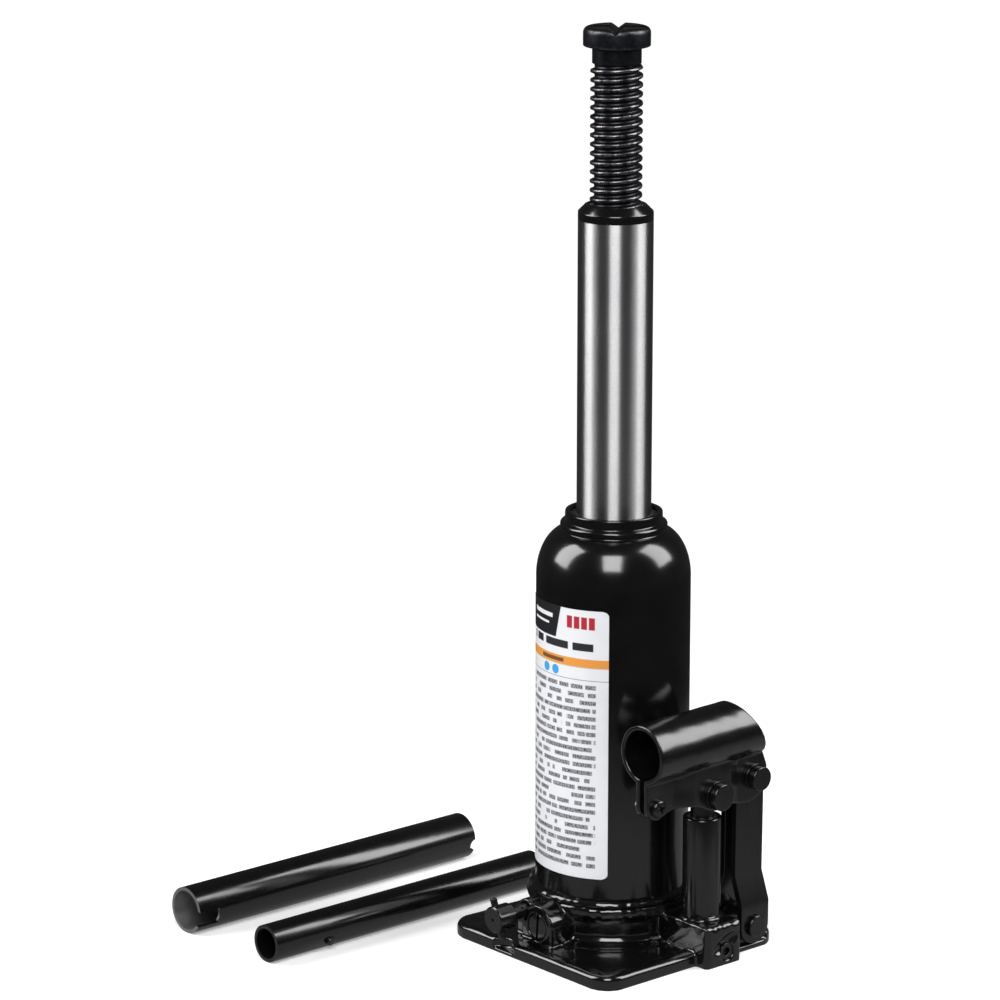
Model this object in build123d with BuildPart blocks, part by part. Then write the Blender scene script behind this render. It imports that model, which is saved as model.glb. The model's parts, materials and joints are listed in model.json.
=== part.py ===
from build123d import *
import os
from math import acos, atan2, cos, degrees, hypot, radians, sin, sqrt

# A hydraulic bottle jack, in millimetres. +Z is up, the origin is on the floor under the
# ram, X runs along the handle socket (its mouth faces -X) and the pump stands at -Y.

os.makedirs("parts", exist_ok=True)

# ------------------------------------------------------------------ clearances
running_fit = 0.06
loose_fit = 0.3
static_fit = 0.03
# How far a tool or a joined shape runs past the face it meets.
overlap = 1.0

# ------------------------------------------------------------------ cast base
plate_left_reach = 20.5
plate_right_reach = 11.0
plate_back_reach = 10.0
plate_front_reach = 7.8
plate_thickness = 6.0
plate_corner = 10.0
plate_edge_round = 2.2
plate_rim = 6.0
plate_pocket_depth = 0.8
plate_pocket_gap = 1.5
bite_radius = 7.2
bite_offset = 3.0
bite_depth = 4.4
drum_step = 1.3
drum_height = 22.0
drum_foot_round = 4.0
collar_overhang = 2.1
collar_height = 6.0
collar_round = 1.2
chamber_floor = 14.5
spigot_height = 5.0
oil_gap = 3.5

# ------------------------------------------------------------------ reservoir and top nut
tank_radius = 32.2
inner_turn = 62.0
tank_wall = 2.2
tank_straight = 134.5
shoulder_run = 13.0
shoulder_rise = 20.5
weld_leg = 3.0
neck_thread_length = 8.4
neck_radius = 20.1
neck_depth = 6.4
nut_ring_radius = 22.3
nut_ring_height = 3.4
nut_ring_edge = 0.8
nut_lip_radius = 20.25
nut_lip_height = 4.5
nut_lip_foot = 1.2
nut_lip_edge = 0.7
nut_recess_radius = 18.1
nut_recess_depth = 3.3
nut_skirt_length = 9.7
wiper_height = 2.2
wiper_edge = 0.7
rod_seal_height = 3.0
rod_seal_depth = 1.6

# ------------------------------------------------------------------ ram and lift cylinder
ram_radius = 15.5
ram_length = 154.5
ram_wall = 2.6
ram_chamfer = 3.0
ram_thread_length = 22.5
ram_spigot_length = 12.0
bore_radius = 18.0
cylinder_wall = 4.0
piston_height = 12.0
seal_groove_height = 4.0
seal_groove_depth = 2.6
backup_height = 1.2
gasket_thickness = 1.5

# ------------------------------------------------------------------ extension screw
screw_travel = 60.0
screw_pitch = 3.75
screw_major = 10.75
screw_root = 9.0
screw_crest = 1.5
screw_flank = 0.55
screw_neck_radius = 10.05
screw_neck_flare = 0.25
screw_neck_length = 6.0
screw_head_gap = 4.5
screw_head_radius = 13.75
screw_head_height = 8.0
screw_head_round = 2.4
saddle_groove_width = 6.0
saddle_groove_depth = 2.4
screw_engaged = 22.0
screw_tail_radius = 6.0
screw_tail_length = 6.5
stop_washer_height = 3.0
stop_clip_height = 1.2

# ------------------------------------------------------------------ hand pump
pump_x = 6.5
pump_stand = 16.0
block_left = -3.5
block_right = 16.6
block_reach = 14.3
block_top = 18.0
block_round = 2.4
pump_radius = 8.0
pump_top = 62.0
pump_pocket_floor = 11.0
pump_spigot_radius = 6.5
pump_bead = 1.7
plunger_radius = 4.95
plunger_bottom = 16.5
gland_radius = 6.4
gland_depth = 7.0
gland_ring_height = 3.0
suction_x = 8.5
suction_z = 5.5
suction_radius = 1.6
riser_radius = 1.5
suction_seat_z = 7.7
discharge_x = 4.0
discharge_z = 14.2
delivery_run = 17.2
passage_radius = 1.3
way_depth = 3.0
way_rise = 4.0
ball_radius = 2.4
block_plug_radius = 3.5
block_plug_length = 5.0

# ------------------------------------------------------------------ handle socket and links
socket_outer = 12.5
socket_wall = 2.0
socket_z = 94.6
socket_mouth_x = -28.0
socket_rise = 1.3
ear_thickness = 2.2
ear_pinched_half = 3.5
ear_wide_half = 8.2
ear_narrow_half = 6.9
step_one_start = 15.0
step_one_run = 7.0
step_two_run = 5.5
ear_tail = 7.2
ear_drop = 6.4
lug_x = 29.0
lug_z = 11.0
lug_half = 6.0
lug_round = 6.8
foot_slot_play = 3.0
link_top_x = 29.5
link_top_z = 75.5
link_thickness = 2.8
link_radius = 7.8
link_bend_low = 21.0
link_bend_high = 33.0
plunger_pin_z = 72.5
plunger_eye_radius = 6.8
plunger_eye_half = 5.6
pivot_slack = 1.0
pin_radius = 4.0
pin_washer = 1.2
pin_groove = 0.6
plunger_head_radius = 5.7
link_head_radius = 5.2
pin_head_height = 3.2
clip_thickness = 1.0
clip_width = 2.4
clip_play = 0.04
clip_seat = 0.6
lower_pin_radius = 3.5
lower_head_radius = 4.7
lower_head_height = 1.3
clamp_x = -22.0
clamp_z = 71.8
clamp_radius = 2.0
clamp_head_radius = 3.7
clamp_head_height = 2.2
clamp_nut_radius = 3.9
clamp_nut_height = 3.0

# ------------------------------------------------------------------ valves in the base
valve_y = 7.5
valve_z = 16.6
valve_boss_radius = 5.3
valve_boss_reach = 8.5
valve_bore_wall = 6.0
valve_way_gap = 2.4
valve_thread_radius = 3.4
valve_neck_radius = 2.8
knob_reach = 26.5
knob_length = 9.0
knob_radius = 5.6
knob_pin_radius = 1.5
knob_pin_half = 9.0
knob_pin_lean = 21.0
plug_y = -2.0
plug_z = 12.4
plug_boss_reach = 10.5
plug_boss_radius = 9.4
plug_radius = 5.7
plug_length = 6.0
plug_slot_width = 1.3
plug_slot_depth = 1.6
relief_bore_radius = 3.5
relief_bore_wall = 5.5
spring_wire = 0.45
spring_play = 0.1

# ------------------------------------------------------------------ label, filler and handle
label_bottom = 33.7
label_height = 115.3
label_half_width = 22.6
label_thickness = 0.15
label_corner = 2.2
filler_radius = 4.5
filler_cap_radius = 6.5
filler_z = 138.0
filler_turn = 45.0
handle_play = 0.5
handle_wall = 1.5
handle_large_length = 152.8
handle_small_length = 147.0
handle_large_left = -137.6
handle_small_left = -134.2
handle_large_y = 116.0
handle_small_y = 65.5
handle_slot_width = 7.0
handle_slot_length = 10.5
handle_slot_turn = 13.0
handle_notch_radius = 2.6
rivet_radius = 2.0
rivet_head = 2.9
rivet_stand = 1.6
rivet_from_end = 28.0
rivet_turn = 24.0
rivet_tail = 1.4
rivet_head_gap = 0.8
rivet_round = 0.9

# ------------------------------------------------------------------ worked-out heights and radii
drum_radius = tank_radius + drum_step
drum_top = drum_height
pump_y = -(tank_radius + pump_stand)
block_front = pump_y - block_reach
plate_left = -(drum_radius + plate_left_reach)
plate_right = drum_radius + plate_right_reach
plate_back = drum_radius + plate_back_reach
plate_front = pump_y - plate_front_reach
delivery_stop_y = pump_y + delivery_run
shoulder_start = drum_top + tank_straight
shoulder_center = tank_radius - shoulder_run
shoulder_turn = degrees(acos((nut_ring_radius - shoulder_center) / shoulder_run))
nut_seat = shoulder_start + shoulder_rise * sin(radians(shoulder_turn))
cylinder_top = nut_seat - neck_thread_length
cylinder_bottom = chamber_floor + gasket_thickness
cylinder_radius = bore_radius + cylinder_wall
spigot_inner = cylinder_radius + oil_gap
valve_boss_face = -(drum_radius + valve_boss_reach)
valve_bore_end = -(cylinder_radius + valve_bore_wall)
knob_face = -(drum_radius + knob_reach)
plug_boss_face = -(drum_radius + plug_boss_reach)
relief_bore_end = -(cylinder_radius + relief_bore_wall)
skirt_bottom = cylinder_top - nut_skirt_length
piston_top = skirt_bottom - loose_fit
piston_bottom = piston_top - piston_height
ram_top = piston_top + ram_length
ram_bore = screw_major + loose_fit
ram_relief = ram_radius - ram_wall
ram_thread_bottom = ram_top - ram_thread_length
head_bottom = ram_top + screw_travel + screw_head_gap
head_top = head_bottom + screw_head_height
thread_top = head_bottom - screw_neck_length
thread_bottom = ram_top - screw_engaged
stop_top = ram_thread_bottom - loose_fit
stop_bottom = stop_top - stop_washer_height
ear_wide_inner = ear_wide_half - ear_thickness
ear_pinched_inner = ear_pinched_half - ear_thickness
ear_narrow_inner = ear_narrow_half - ear_thickness
link_top_inner = ear_narrow_inner - static_fit * 2 - link_thickness
link_low_inner = lug_half + loose_fit
socket_bore = socket_outer - socket_wall
handle_large_radius = socket_bore - handle_play
handle_small_radius = handle_large_radius - handle_wall - handle_play
ball_seat_depth = sqrt(ball_radius**2 - passage_radius**2) + 2 * static_fit
lower_grip = link_low_inner + link_thickness + loose_fit


def drill(start, direction, radius, depth):
    """Bore a straight round hole out of the part that is being built."""
    with BuildSketch(Plane(origin=start, z_dir=direction)) as mouth:
        Circle(radius)
    extrude(mouth.sketch, amount=depth, mode=Mode.SUBTRACT)


def across(y):
    """The plane square to Y at y, with X to the right and Z up."""
    return Plane.XZ.offset(-y)


# ------------------------------------------------------------------ base
plate_length = plate_right - plate_left
plate_width = plate_back - plate_front
plate_middle = ((plate_left + plate_right) / 2, (plate_front + plate_back) / 2)
collar_radius = drum_radius + collar_overhang
with BuildPart() as base:
    with BuildSketch():
        with Locations(plate_middle):
            RectangleRounded(plate_length, plate_width, plate_corner)
    extrude(amount=plate_thickness)
    fillet(base.faces().sort_by(Axis.Z)[-1].edges(), plate_edge_round)
    # The sunken panel in the front corner follows the plate's rim and the drum's foot.
    with BuildSketch(Plane.XY.offset(plate_thickness)):
        with Locations(plate_middle):
            Rectangle(plate_length - 2 * plate_rim, plate_width - 2 * plate_rim)
        with Locations((0, 0)):
            Rectangle(plate_length, 2 * plate_width, align=(Align.MIN, Align.CENTER), mode=Mode.SUBTRACT)
            Rectangle(2 * plate_length, plate_width, align=(Align.CENTER, Align.MIN), mode=Mode.SUBTRACT)
            Circle(drum_radius + drum_foot_round + plate_pocket_gap, mode=Mode.SUBTRACT)
    extrude(amount=-plate_pocket_depth, mode=Mode.SUBTRACT)
    # Pump block, proud of the plate's front edge.
    with BuildSketch():
        with Locations((block_left, block_front)):
            Rectangle(block_right - block_left, -block_front - drum_radius / 2, align=(Align.MIN, Align.MIN))
    extrude(amount=block_top)
    block_edges = base.edges().filter_by(
        lambda e: e.center().Y < block_front + overlap and e.center().Z > plate_thickness
    )
    fillet(block_edges, block_round)
    # Lug for the links, beside the block.
    with BuildSketch(across(pump_y + lug_half)):
        with Locations((lug_x, lug_z)):
            Circle(lug_round)
        with Locations((lug_x + lug_round, lug_z)):
            Rectangle(
                lug_x + lug_round - block_right + overlap,
                lug_z - plate_thickness / 2,
                align=(Align.MAX, Align.MAX),
            )
    extrude(amount=2 * lug_half)
    # Drum that carries the reservoir, with its rolled collar.
    with BuildSketch(Plane.XZ):
        with BuildLine():
            Line((0, 0), (drum_radius + drum_foot_round, 0))
            Line((drum_radius + drum_foot_round, 0), (drum_radius + drum_foot_round, plate_thickness))
            RadiusArc(
                (drum_radius + drum_foot_round, plate_thickness),
                (drum_radius, plate_thickness + drum_foot_round),
                drum_foot_round,
            )
            Line((drum_radius, plate_thickness + drum_foot_round), (drum_radius, drum_top - collar_height))
            Line((drum_radius, drum_top - collar_height), (collar_radius, drum_top - collar_height / 1.5))
            Line((collar_radius, drum_top - collar_height / 1.5), (collar_radius, drum_top - collar_round))
            Line((collar_radius, drum_top - collar_round), (collar_radius - collar_round, drum_top))
            Line((collar_radius - collar_round, drum_top), (0, drum_top))
            Line((0, drum_top), (0, 0))
        make_face()
    revolve(axis=Axis.Z)
    # Bosses of the two valves.
    with BuildSketch(Plane.YZ.offset(plug_boss_face)):
        with Locations((plug_y, plug_z)):
            Circle(plug_boss_radius)
            Rectangle(2 * plug_boss_radius, plug_z - overlap, align=(Align.CENTER, Align.MAX))
    extrude(amount=-plug_boss_face / 2)
    with BuildSketch(Plane.YZ.offset(valve_boss_face)):
        with Locations((valve_y, valve_z)):
            Circle(valve_boss_radius)
            Rectangle(2 * valve_boss_radius, valve_z - overlap, align=(Align.CENTER, Align.MAX))
    extrude(amount=-valve_boss_face / 2)
    # Spigot that centres the reservoir.
    with BuildSketch(Plane.XY.offset(drum_top)):
        Circle(tank_radius - tank_wall - static_fit)
        Circle(spigot_inner, mode=Mode.SUBTRACT)
    extrude(amount=spigot_height)
    # Bite in the plate's left edge, which clears a finger on the valve's cross pin.
    drill(
        (plate_left - bite_offset, valve_y, plate_thickness - bite_depth),
        (0, 0, 1),
        bite_radius,
        plate_thickness,
    )
    # Slots that the link's two feet swing in, wide enough for the pin's clip as well.
    foot_slot_width = lower_grip + 2 * clip_thickness + loose_fit - lug_half
    for side in (-1, 1):
        with BuildSketch(Plane.XY.offset(lug_z - link_radius - 2 * loose_fit)):
            with Locations((lug_x, pump_y + side * (lug_half + foot_slot_width / 2))):
                Rectangle(2 * link_radius + foot_slot_play, foot_slot_width)
        extrude(amount=lug_z, mode=Mode.SUBTRACT)
    drill((lug_x, 0, lug_z), (0, -1, 0), lower_pin_radius + static_fit, -2 * pump_y)
    # Lift cylinder seat and the oil ways.
    drill((0, 0, chamber_floor), (0, 0, 1), cylinder_radius + static_fit, drum_height + spigot_height)
    drill((pump_x, pump_y, pump_pocket_floor), (0, 0, 1), pump_spigot_radius + static_fit, block_top)
    suction_reach = sqrt((cylinder_radius + oil_gap / 2) ** 2 - suction_x**2)
    drill((suction_x, block_front, suction_z), (0, 1, 0), suction_radius, -block_front - suction_reach)
    drill((suction_x, -suction_reach, suction_z), (0, 0, 1), riser_radius, drum_top)
    drill(
        (suction_x, block_front, suction_z),
        (0, 1, 0),
        block_plug_radius + static_fit,
        block_plug_length + overlap,
    )
    drill((suction_x, pump_y, suction_z), (0, 0, 1), passage_radius, pump_pocket_floor)
    drill((suction_x, pump_y, suction_seat_z), (0, 0, 1), ball_radius + loose_fit, pump_pocket_floor)
    drill((discharge_x, pump_y, discharge_z), (0, 1, 0), ball_radius + loose_fit, delivery_stop_y - pump_y)
    drill((discharge_x, pump_y, discharge_z), (0, 1, 0), passage_radius, -pump_y - bore_radius / 2)
    drill((discharge_x, -bore_radius / 2, chamber_floor - way_depth), (0, 0, 1), passage_radius, way_rise)
    # Release valve bore, relief valve bore and their ways into the chamber.
    way_x = valve_bore_end + valve_way_gap
    way_z = chamber_floor - way_depth
    drill(
        (plate_left, valve_y, valve_z),
        (1, 0, 0),
        valve_thread_radius + loose_fit,
        valve_bore_end - plate_left,
    )
    drill(
        (valve_bore_end - overlap, valve_y, valve_z),
        (1, 0, 0),
        passage_radius,
        valve_way_gap + overlap,
    )
    drill((way_x, valve_y, valve_z), (0, 0, -1), passage_radius, valve_z - way_z)
    drill((way_x, valve_y, way_z), (1, 0, 0), passage_radius, -way_x - bore_radius / 2)
    drill((-bore_radius / 2, valve_y, way_z), (0, 0, 1), passage_radius, way_rise)
    drill(
        (plate_left, plug_y, plug_z),
        (1, 0, 0),
        plug_radius + static_fit,
        plug_boss_face + plug_length - plate_left,
    )
    drill((plug_boss_face, plug_y, plug_z), (1, 0, 0), relief_bore_radius, relief_bore_end - plug_boss_face)
    drill(
        (relief_bore_end - overlap, plug_y, plug_z),
        (1, 0, 0),
        passage_radius,
        -relief_bore_end + overlap - bore_radius / 2,
    )
    drill((-bore_radius / 2, plug_y, plug_z), (0, 0, 1), passage_radius, way_rise)
base.part.label = "base"
export_step(base.part, "parts/base.step")

# ------------------------------------------------------------------ reservoir
tank_inner = tank_radius - tank_wall
inner_mouth = (
    shoulder_center + (shoulder_run - tank_wall) * cos(radians(inner_turn)),
    shoulder_start + (shoulder_rise - tank_wall) * sin(radians(inner_turn)),
)
with BuildPart() as reservoir_tank:
    with BuildSketch(Plane.XZ):
        with BuildLine():
            Line((tank_inner, drum_top), (tank_radius + weld_leg, drum_top))
            Line((tank_radius + weld_leg, drum_top), (tank_radius, drum_top + weld_leg))
            Line((tank_radius, drum_top + weld_leg), (tank_radius, shoulder_start))
            shoulder = EllipticalCenterArc(
                (shoulder_center, shoulder_start),
                shoulder_run,
                shoulder_rise,
                start_angle=0,
                arc_size=shoulder_turn,
            )
            Line(shoulder @ 1, (neck_radius, (shoulder @ 1).Y))
            Line((neck_radius, (shoulder @ 1).Y), (neck_radius, nut_seat - neck_depth))
            Line((neck_radius, nut_seat - neck_depth), (neck_radius + tank_wall, nut_seat - neck_depth))
            Line((neck_radius + tank_wall, nut_seat - neck_depth), inner_mouth)
            inside = EllipticalCenterArc(
                (shoulder_center, shoulder_start),
                shoulder_run - tank_wall,
                shoulder_rise - tank_wall,
                start_angle=0,
                arc_size=inner_turn,
            )
            Line(inside @ 0, (tank_inner, drum_top))
        make_face()
    revolve(axis=Axis.Z)
    filler_way = (cos(radians(filler_turn)), sin(radians(filler_turn)), 0)
    drill((0, 0, filler_z), filler_way, filler_radius + static_fit, 2 * tank_radius)
reservoir_tank.part.label = "reservoir_tank"
export_step(reservoir_tank.part, "parts/reservoir_tank.step")

# ------------------------------------------------------------------ top nut and its seals
ram_way = ram_radius + running_fit
recess_floor = nut_seat + nut_ring_height + nut_lip_height - nut_recess_depth
nut_top = nut_seat + nut_ring_height + nut_lip_height
rod_seal_bottom = cylinder_top + rod_seal_height
with BuildPart() as top_nut:
    with BuildSketch(Plane.XZ):
        with BuildLine():
            Polyline(
                (ram_way, skirt_bottom),
                (bore_radius - static_fit, skirt_bottom),
                (bore_radius - static_fit, cylinder_top),
                (neck_radius - static_fit, cylinder_top),
                (neck_radius - static_fit, nut_seat),
                (nut_ring_radius, nut_seat),
                (nut_ring_radius, nut_seat + nut_ring_height - nut_ring_edge),
                (nut_ring_radius - nut_ring_edge, nut_seat + nut_ring_height),
                (nut_lip_radius - nut_lip_foot / 2, nut_seat + nut_ring_height),
                (nut_lip_radius, nut_seat + nut_ring_height + nut_lip_foot),
                (nut_lip_radius, nut_top - nut_lip_edge),
                (nut_lip_radius - nut_lip_edge, nut_top),
                (nut_recess_radius, nut_top),
                (nut_recess_radius, recess_floor),
                (ram_way, recess_floor),
                close=True,
            )
        make_face()
    revolve(axis=Axis.Z)
    with BuildSketch(Plane.XY.offset(rod_seal_bottom)):
        Circle(ram_way + rod_seal_depth)
    extrude(amount=rod_seal_height, mode=Mode.SUBTRACT)
top_nut.part.label = "top_nut"
export_step(top_nut.part, "parts/top_nut.step")

with BuildPart() as ram_wiper:
    with BuildSketch(Plane.XZ):
        with BuildLine():
            Polyline(
                (ram_way, recess_floor + wiper_edge),
                (ram_way + wiper_edge, recess_floor),
                (nut_recess_radius - static_fit, recess_floor),
                (nut_recess_radius - static_fit, recess_floor + wiper_height - wiper_edge),
                (ram_way + wiper_edge, recess_floor + wiper_height - wiper_edge),
                (ram_way, recess_floor + wiper_height),
                close=True,
            )
        make_face()
    revolve(axis=Axis.Z)
ram_wiper.part.label = "ram_wiper"
export_step(ram_wiper.part, "parts/ram_wiper.step")

with BuildPart() as rod_seal:
    with BuildSketch(Plane.XY.offset(rod_seal_bottom)):
        Circle(ram_way + rod_seal_depth - static_fit)
        Circle(ram_way, mode=Mode.SUBTRACT)
    extrude(amount=rod_seal_height)
rod_seal.part.label = "rod_seal"
export_step(rod_seal.part, "parts/rod_seal.step")

# ------------------------------------------------------------------ lift cylinder
with BuildPart() as pressure_cylinder:
    with BuildSketch(Plane.XY.offset(cylinder_bottom)):
        Circle(cylinder_radius)
        Circle(bore_radius, mode=Mode.SUBTRACT)
    extrude(amount=cylinder_top - cylinder_bottom)
pressure_cylinder.part.label = "pressure_cylinder"
export_step(pressure_cylinder.part, "parts/pressure_cylinder.step")

with BuildPart() as cylinder_gasket:
    with BuildSketch(Plane.XY.offset(chamber_floor)):
        Circle(cylinder_radius)
        Circle(bore_radius, mode=Mode.SUBTRACT)
    extrude(amount=gasket_thickness)
cylinder_gasket.part.label = "cylinder_gasket"
export_step(cylinder_gasket.part, "parts/cylinder_gasket.step")

# ------------------------------------------------------------------ ram and piston
with BuildPart() as ram:
    with BuildSketch(Plane.XY.offset(piston_top)):
        Circle(ram_radius)
    extrude(amount=ram_length)
    chamfer(ram.faces().sort_by(Axis.Z)[-1].edges(), ram_chamfer)
    drill((0, 0, piston_top), (0, 0, 1), ram_relief, ram_thread_bottom - piston_top)
    drill((0, 0, ram_thread_bottom), (0, 0, 1), ram_bore, ram_thread_length)
ram.part.label = "ram"
export_step(ram.part, "parts/ram.step")

piston_radius = bore_radius - running_fit
groove_radius = piston_radius - seal_groove_depth
groove_bottom = piston_bottom + seal_groove_height - backup_height
groove_top = groove_bottom + seal_groove_height + backup_height
with BuildPart() as ram_piston:
    with BuildSketch(Plane.XY.offset(piston_bottom)):
        Circle(piston_radius)
    extrude(amount=piston_height)
    chamfer(ram_piston.faces().sort_by(Axis.Z)[0].edges(), 1)
    with BuildSketch(Plane.XY.offset(piston_top)):
        Circle(ram_relief - static_fit)
    extrude(amount=ram_spigot_length)
    with BuildSketch(Plane.XY.offset(groove_bottom)):
        Circle(bore_radius)
        Circle(groove_radius, mode=Mode.SUBTRACT)
    extrude(amount=groove_top - groove_bottom, mode=Mode.SUBTRACT)
    drill((0, 0, piston_bottom), (0, 0, 1), screw_root, backup_height)
ram_piston.part.label = "ram_piston"
export_step(ram_piston.part, "parts/ram_piston.step")

with BuildPart() as piston_cup_seal:
    with BuildSketch(Plane.XZ):
        with BuildLine():
            Polyline(
                (groove_radius + static_fit, groove_bottom),
                (groove_radius + 0.8, groove_bottom),
                (groove_radius + 1.2, groove_bottom + 2),
                (piston_radius - 0.8, groove_bottom + 2),
                (piston_radius - 0.4, groove_bottom),
                (piston_radius, groove_bottom),
                (piston_radius, groove_bottom + seal_groove_height),
                (groove_radius + static_fit, groove_bottom + seal_groove_height),
                close=True,
            )
        make_face()
    revolve(axis=Axis.Z)
piston_cup_seal.part.label = "piston_cup_seal"
export_step(piston_cup_seal.part, "parts/piston_cup_seal.step")

with BuildPart() as piston_backup_ring:
    with BuildSketch(Plane.XY.offset(groove_top - backup_height)):
        Circle(piston_radius)
        Circle(groove_radius + static_fit, mode=Mode.SUBTRACT)
    extrude(amount=backup_height)
piston_backup_ring.part.label = "piston_backup_ring"
export_step(piston_backup_ring.part, "parts/piston_backup_ring.step")

# ------------------------------------------------------------------ extension screw
tail_bottom = stop_bottom - stop_clip_height - (screw_tail_length - stop_washer_height - stop_clip_height)
with BuildPart() as extension_screw:
    with BuildSketch(Plane.XY.offset(thread_bottom)):
        Circle(screw_root)
    extrude(amount=thread_top - thread_bottom)
    # The thread is cut as crests at its pitch: trapezoids with rounded-off flanks.
    crest_count = int((thread_top - thread_bottom - screw_crest) / screw_pitch)
    for turn in range(crest_count):
        crest_middle = thread_top - screw_pitch * (turn + 0.5)
        with BuildSketch(Plane.XZ):
            with BuildLine():
                Polyline(
                    (screw_root - 1, crest_middle - screw_crest / 2 - screw_flank),
                    (screw_root, crest_middle - screw_crest / 2 - screw_flank),
                    (screw_major, crest_middle - screw_crest / 2),
                    (screw_major, crest_middle + screw_crest / 2),
                    (screw_root, crest_middle + screw_crest / 2 + screw_flank),
                    (screw_root - 1, crest_middle + screw_crest / 2 + screw_flank),
                    close=True,
                )
            make_face()
    revolve(axis=Axis.Z)
    # Plain neck that flares a little at its foot.
    with BuildSketch(Plane.XZ):
        with BuildLine():
            Polyline(
                (0, thread_top),
                (screw_neck_radius + screw_neck_flare, thread_top),
                (screw_neck_radius + screw_neck_flare, thread_top + screw_neck_flare * 2),
                (screw_neck_radius, thread_top + screw_neck_length / 3),
                (screw_neck_radius, head_bottom),
                (0, head_bottom),
                close=True,
            )
        make_face()
    revolve(axis=Axis.Z)
    with BuildSketch(Plane.XY.offset(head_bottom)):
        Circle(screw_head_radius)
    extrude(amount=screw_head_height)
    head_rims = extension_screw.edges().filter_by(GeomType.CIRCLE).group_by(Axis.Z)[-1]
    fillet(head_rims, screw_head_round)
    # Two crossed grooves grip the load; each is a rounded vee.
    for bearing in (45, 135):
        groove_plane = Plane(
            origin=(0, 0, head_top),
            x_dir=(-sin(radians(bearing)), cos(radians(bearing)), 0),
            z_dir=(cos(radians(bearing)), sin(radians(bearing)), 0),
        )
        with BuildSketch(groove_plane):
            with BuildLine():
                Polyline(
                    (-saddle_groove_width / 2, 0.5),
                    (-saddle_groove_width / 2, 0),
                    (-saddle_groove_width / 5, -saddle_groove_depth),
                    (saddle_groove_width / 5, -saddle_groove_depth),
                    (saddle_groove_width / 2, 0),
                    (saddle_groove_width / 2, 0.5),
                    close=True,
                )
            make_face()
        extrude(amount=2 * screw_head_radius, both=True, mode=Mode.SUBTRACT)
    # Turned-down tail that carries the stop washer and its clip.
    with BuildSketch(Plane.XY.offset(tail_bottom)):
        Circle(screw_tail_radius)
    extrude(amount=thread_bottom - tail_bottom)
    with BuildSketch(Plane.XY.offset(stop_bottom - stop_clip_height - static_fit)):
        Circle(screw_tail_radius)
        Circle(screw_tail_radius - 0.8, mode=Mode.SUBTRACT)
    extrude(amount=stop_clip_height + static_fit, mode=Mode.SUBTRACT)
extension_screw.part.label = "extension_screw"
export_step(extension_screw.part, "parts/extension_screw.step")

with BuildPart() as screw_stop_washer:
    with BuildSketch(Plane.XY.offset(stop_bottom)):
        Circle(ram_relief - loose_fit)
        Circle(screw_tail_radius + running_fit, mode=Mode.SUBTRACT)
    extrude(amount=stop_washer_height)
screw_stop_washer.part.label = "screw_stop_washer"
export_step(screw_stop_washer.part, "parts/screw_stop_washer.step")

with BuildPart() as screw_stop_clip:
    with BuildSketch(Plane.XY.offset(stop_bottom - stop_clip_height - static_fit / 2)):
        Circle(screw_tail_radius + clip_width)
        Circle(screw_tail_radius - 0.8 + static_fit, mode=Mode.SUBTRACT)
        with Locations((screw_tail_radius, 0)):
            Rectangle(2 * clip_width + 2, 2 * screw_tail_radius - 4, mode=Mode.SUBTRACT)
    extrude(amount=stop_clip_height - static_fit)
screw_stop_clip.part.label = "screw_stop_clip"
export_step(screw_stop_clip.part, "parts/screw_stop_clip.step")

# ------------------------------------------------------------------ hand pump
pump_bore = plunger_radius + running_fit
gland_floor = pump_top - gland_depth
pump_foot = pump_pocket_floor + gasket_thickness
pump_plane = Plane(origin=(pump_x, pump_y, 0), x_dir=(1, 0, 0), z_dir=(0, -1, 0))
pump_axis = Axis((pump_x, pump_y, 0), (0, 0, 1))
with BuildPart() as pump_cylinder:
    with BuildSketch(pump_plane):
        with BuildLine():
            Polyline(
                (0, pump_foot),
                (pump_spigot_radius, pump_foot),
                (pump_spigot_radius, block_top),
                (pump_radius + pump_bead, block_top),
                (pump_radius + pump_bead * 0.7, block_top + pump_bead * 0.8),
                (pump_radius, block_top + pump_bead * 1.4),
                (pump_radius, pump_top - 0.8),
                (pump_radius - 0.8, pump_top),
                (0, pump_top),
                close=True,
            )
        make_face()
    revolve(axis=pump_axis)
    drill((pump_x, pump_y, pump_foot), (0, 0, 1), pump_bore, pump_top)
    drill((pump_x, pump_y, gland_floor), (0, 0, 1), gland_radius, pump_top)
    drill((discharge_x, pump_y, discharge_z), (0, 1, 0), passage_radius, pump_radius)
pump_cylinder.part.label = "pump_cylinder"
export_step(pump_cylinder.part, "parts/pump_cylinder.step")

with BuildPart() as pump_gasket:
    with BuildSketch(Plane.XY.offset(pump_pocket_floor)):
        with Locations((pump_x, pump_y)):
            Circle(pump_spigot_radius)
            Circle(pump_bore, mode=Mode.SUBTRACT)
    extrude(amount=gasket_thickness)
pump_gasket.part.label = "pump_gasket"
export_step(pump_gasket.part, "parts/pump_gasket.step")

with BuildPart() as plunger_seal:
    with BuildSketch(Plane.XY.offset(gland_floor)):
        with Locations((pump_x, pump_y)):
            Circle(gland_radius - static_fit)
            Circle(pump_bore, mode=Mode.SUBTRACT)
    extrude(amount=gland_depth - gland_ring_height)
plunger_seal.part.label = "plunger_seal"
export_step(plunger_seal.part, "parts/plunger_seal.step")

with BuildPart() as gland_ring:
    with BuildSketch(Plane.XY.offset(pump_top - gland_ring_height)):
        with Locations((pump_x, pump_y)):
            Circle(gland_radius - static_fit)
            Circle(pump_bore, mode=Mode.SUBTRACT)
    extrude(amount=gland_ring_height - 0.3)
gland_ring.part.label = "gland_ring"
export_step(gland_ring.part, "parts/gland_ring.step")

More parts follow.
